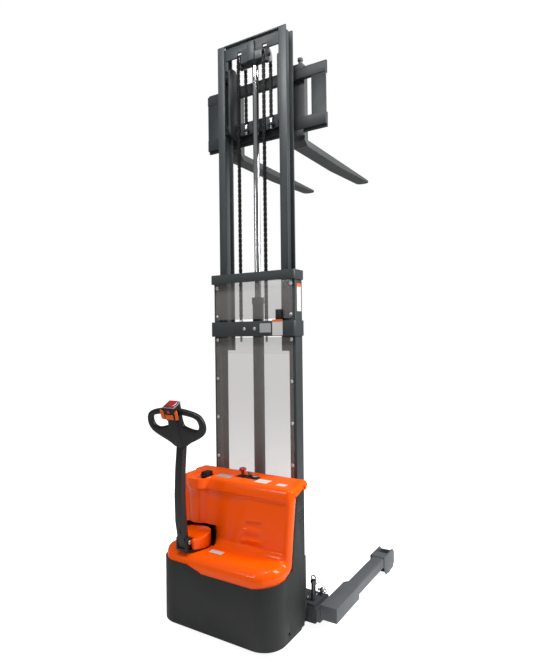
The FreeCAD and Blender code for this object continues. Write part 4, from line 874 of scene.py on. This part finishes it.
def link(bm, shift):
    """One link up the Z axis: a pack of waisted plates on a pin. shift says which pack it is."""
    outline = [(0.0032, 0.0128), (0.0062, 0.0088), (0.0046, 0.0), (0.0062, -0.0088),
               (0.0032, -0.0128)]
    outline += [(-y, z) for y, z in reversed(outline)]
    made = []
    for x in (-0.0088, -0.0030, 0.0030, 0.0088) if shift else (-0.0059, 0.0, 0.0059):
        corners = [bm.verts.new((x - 0.00125, y, z)) for y, z in outline]
        side = bm.faces.new(corners)
        solid = bmesh.ops.extrude_face_region(bm, geom=[side])["geom"]
        far = [v for v in solid if isinstance(v, bmesh.types.BMVert)]
        bmesh.ops.translate(bm, vec=(0.0025, 0, 0), verts=far)
        made += corners + far
    pin = bmesh.ops.create_cone(bm, cap_ends=True, segments=8, radius1=0.0026, radius2=0.0026,
                                depth=0.0204)["verts"]
    bmesh.ops.rotate(bm, cent=(0, 0, 0), matrix=crosswise, verts=pin)
    bmesh.ops.translate(bm, vec=(0, 0, pitch / 2), verts=pin)
    return made + pin


def chain(places):
    """Links at (x, y, z, lean) places, the packs alternating from one to the next."""
    bm = bmesh.new()
    for count, (x, y, z, lean) in enumerate(places):
        made = link(bm, count % 2)
        bmesh.ops.rotate(bm, cent=(0, 0, 0), matrix=Matrix.Rotation(lean, 3, "X"), verts=made)
        bmesh.ops.translate(bm, vec=(x, y, z), verts=made)
    bmesh.ops.recalc_face_normals(bm, faces=bm.faces)
    return bm


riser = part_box("chain_risers")
riser_links = int((riser[1].z - riser[0].z - 0.026) / pitch)
riser_places = [(side * chain_x, mast_y + 0.038, riser[0].z + first_pin + i * pitch, 0.0)
                for side in (-1, 1) for i in range(riser_links + 1)]
risers = finished("chain_fixed_side", chain(riser_places), oiled_chain, "truck", "chain",
                  "chain_risers")
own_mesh(risers)

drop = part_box("chain_drops")
over = int(math.pi * chain_line / pitch)
drop_places = []
for side in (-1, 1):
    for i in range(over + 1):
        angle = math.pi - (i + 0.5) * pitch / chain_line
        drop_places.append((side * chain_x, sheave_axis.y + chain_line * math.cos(angle),
                            sheave_axis.z + chain_line * math.sin(angle), angle))
    down = sheave_axis.z - 0.004
    while down > drop[0].z + first_pin:
        drop_places.append((side * chain_x, sheave_axis.y + chain_line, down, 0.0))
        down -= pitch
drops = finished("chain_carriage_side", chain(drop_places), oiled_chain, None, "chain")
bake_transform(drops)
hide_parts("chain_drops")


# ------------------------------------------------------------------ fork carriage and forks
# Plates with the carriage rollers inside the mast, two class II bars and end plates outside it,
# and two forged forks hooked on the bars, each with a spring latch.

carriage_paint = powder_coat("carriage_powder_coat", (0.020, 0.024, 0.026), 0.56)
fork_paint = powder_coat("fork_powder_coat", (0.060, 0.063, 0.064), 0.45)
carried("carriage_side_plates", "carriage_plates", 0.0018, carriage_paint, "carriage",
        "mast_paint")
carried("carriage_bars", "carriage_frame", 0.002, carriage_paint, "carriage", "mast_paint")
carried("carriage_anchors", "carriage_chain_bolts", 0.0006, zinc, "carriage", "zinc")
for side in ("left", "right"):
    carried(f"{side}_forged_fork", f"fork_{side}", 0.0035, fork_paint, f"{side}_fork",
            "fork_paint", segments=3)


# ------------------------------------------------------------------ straddle legs and their locks
# Folded legs that slide in the cross tube. A plate bolted on each end of the tube carries the lock
# pin's housing and a retaining clip, tied on with a short cord.

leg_paint = powder_coat("leg_powder_coat", (0.092, 0.100, 0.107), 0.40)
blackened = bare_steel("blackened_steel", (0.13, 0.13, 0.135), 0.30, (10, 10, 1))
for side in ("left", "right"):
    carried(f"{side}_leg_weldment", f"straddle_leg_{side}", 0.004, leg_paint, f"{side}_leg",
            "mast_paint", segments=3)
    carried(f"{side}_lock_plunger", f"lock_pin_{side}", 0.0022, blackened, f"{side}_lock_pin",
            "zinc", segments=3)
surfaced(black_tyre, "load_wheel_left", "load_wheel_right")
carried("lock_housings", "clamp_plates", 0.0015, dark_paint, "truck", "dark_paint")
carried("housing_bolts", "clamp_bolts", 0.0008, zinc, "truck", "zinc")
carried("linch_clips", "retaining_clips", 0.0010, zinc, "truck", "zinc")

cord_finish = Finish("black_braided_cord", {"Roughness": 0.7, "Specular IOR Level": 0.12})
braid = cord_finish.noise(900.0, 2.0)
cord_finish.feed("Base Color", cord_finish.mixed(braid, (0.004, 0.004, 0.004),
                                                 (0.016, 0.016, 0.017)))
cord_finish.relief(cord_finish.noise(1400.0, 2.0), 0.5, 0.0004)
cord_route = [(-0.004, 0.135, 0.050), (-0.004, 0.135, 0.064), (-0.011, 0.131, 0.082),
              (-0.027, 0.120, 0.093), (-0.044, 0.108, 0.085), (-0.054, 0.098, 0.065),
              (-0.058, 0.092, 0.043), (-0.060, 0.090, 0.023), (-0.060, 0.090, 0.010)]
base_end = Vector((0.437, mast_y - 0.020, 0.135))
for side, name in ((-1, "left"), (1, "right")):
    curve = bpy.data.curves.new(f"{name}_clip_cord", "CURVE")
    curve.dimensions = "3D"
    curve.bevel_depth = 0.002
    curve.bevel_resolution = 5
    spline = curve.splines.new("NURBS")
    spline.points.add(len(cord_route) - 1)
    for point, (out, back, up) in zip(spline.points, cord_route):
        point.co = (side * (base_end.x + out), base_end.y + back, base_end.z + up, 1)
    spline.order_u = 3
    spline.use_endpoint_u = True
    spline.resolution_u = 12
    curve.materials.append(cord_finish.material)
    cord = bpy.data.objects.new(f"{name}_clip_cord", curve)
    bpy.context.scene.collection.objects.link(cord)
    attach(cord, "truck")
    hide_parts("clip_lanyards")


# ------------------------------------------------------------------ studio
# A white floor and room, a tall softbox at the front left, a fill from the right and a wide one
# overhead, and the camera at standing height.

floor_mesh = bpy.data.meshes.new("studio_floor")
bm = bmesh.new()
bmesh.ops.create_grid(bm, x_segments=8, y_segments=8, size=40)
bm.to_mesh(floor_mesh)
bm.free()
floor = bpy.data.objects.new("studio_floor", floor_mesh)
bpy.context.scene.collection.objects.link(floor)
floor.location.z = -0.0005
floor_paint = Finish("studio_floor", {"Roughness": 0.8, "Specular IOR Level": 0.1,
                                      "Emission Strength": 0.92})
to_camera = floor_paint.node("LightPath", None, {}, "Is Camera Ray")
floor_paint.feed("Emission Color", floor_paint.mixed(to_camera, (0, 0, 0), (1, 1, 1)))
floor_paint.feed("Base Color", floor_paint.mixed(floor_paint.noise(0.6, 2.0), (0.84, 0.84, 0.84),
                                                 (0.88, 0.88, 0.88)))
floor_mesh.materials.append(floor_paint.material)

room = bpy.data.worlds.new("studio_room")
bpy.context.scene.world = room
room.use_nodes = True
links, nodes = room.node_tree.links, room.node_tree.nodes
seen, lit = nodes["Background"], nodes.new("ShaderNodeBackground")
seen.inputs["Color"].default_value = lit.inputs["Color"].default_value = (1, 1, 1, 1)
seen.inputs["Strength"].default_value = 1.0
lit.inputs["Strength"].default_value = 0.20
ray, both = nodes.new("ShaderNodeLightPath"), nodes.new("ShaderNodeMixShader")
links.new(ray.outputs["Is Camera Ray"], both.inputs[0])
links.new(lit.outputs[0], both.inputs[1])
links.new(seen.outputs[0], both.inputs[2])
links.new(both.outputs[0], nodes["World Output"].inputs["Surface"])


def softbox(name, place, aim, size, power):
    lamp = bpy.data.lights.new(name, "AREA")
    lamp.shape = "RECTANGLE"
    lamp.size, lamp.size_y = size
    lamp.energy = power
    holder = bpy.data.objects.new(name, lamp)
    bpy.context.scene.collection.objects.link(holder)
    holder.location = place
    holder.rotation_euler = (Vector(aim) - Vector(place)).to_track_quat("-Z", "Y").to_euler()


softbox("front_left_strip", (-2.2, -4.4, 3.2), (0, -0.6, 1.2), (0.4, 1.5), 19)
softbox("right_strip", (3.6, 0.8, 3.9), (0, -0.2, 2.0), (1.0, 3.0), 300)
softbox("overhead_strip", (0.2, -1.7, 4.4), (0, -0.5, 0.5), (2.0, 0.6), 96)
bpy.context.scene.view_settings.view_transform = "Standard"

lens = bpy.data.cameras.new("camera")
lens.lens, lens.sensor_width = 28.26, 36.0
camera = bpy.data.objects.new("camera", lens)
bpy.context.scene.collection.objects.link(camera)
camera.location = (1.8143, -3.1075, 1.6879)
camera.rotation_mode = "QUATERNION"
sight = Vector((-0.5308, 0.8475, 0.00384)).to_track_quat("-Z", "Y")
roll = math.radians(-0.67)
camera.rotation_quaternion = sight @ Quaternion((0, 0, 1), roll)
bpy.context.scene.camera = camera
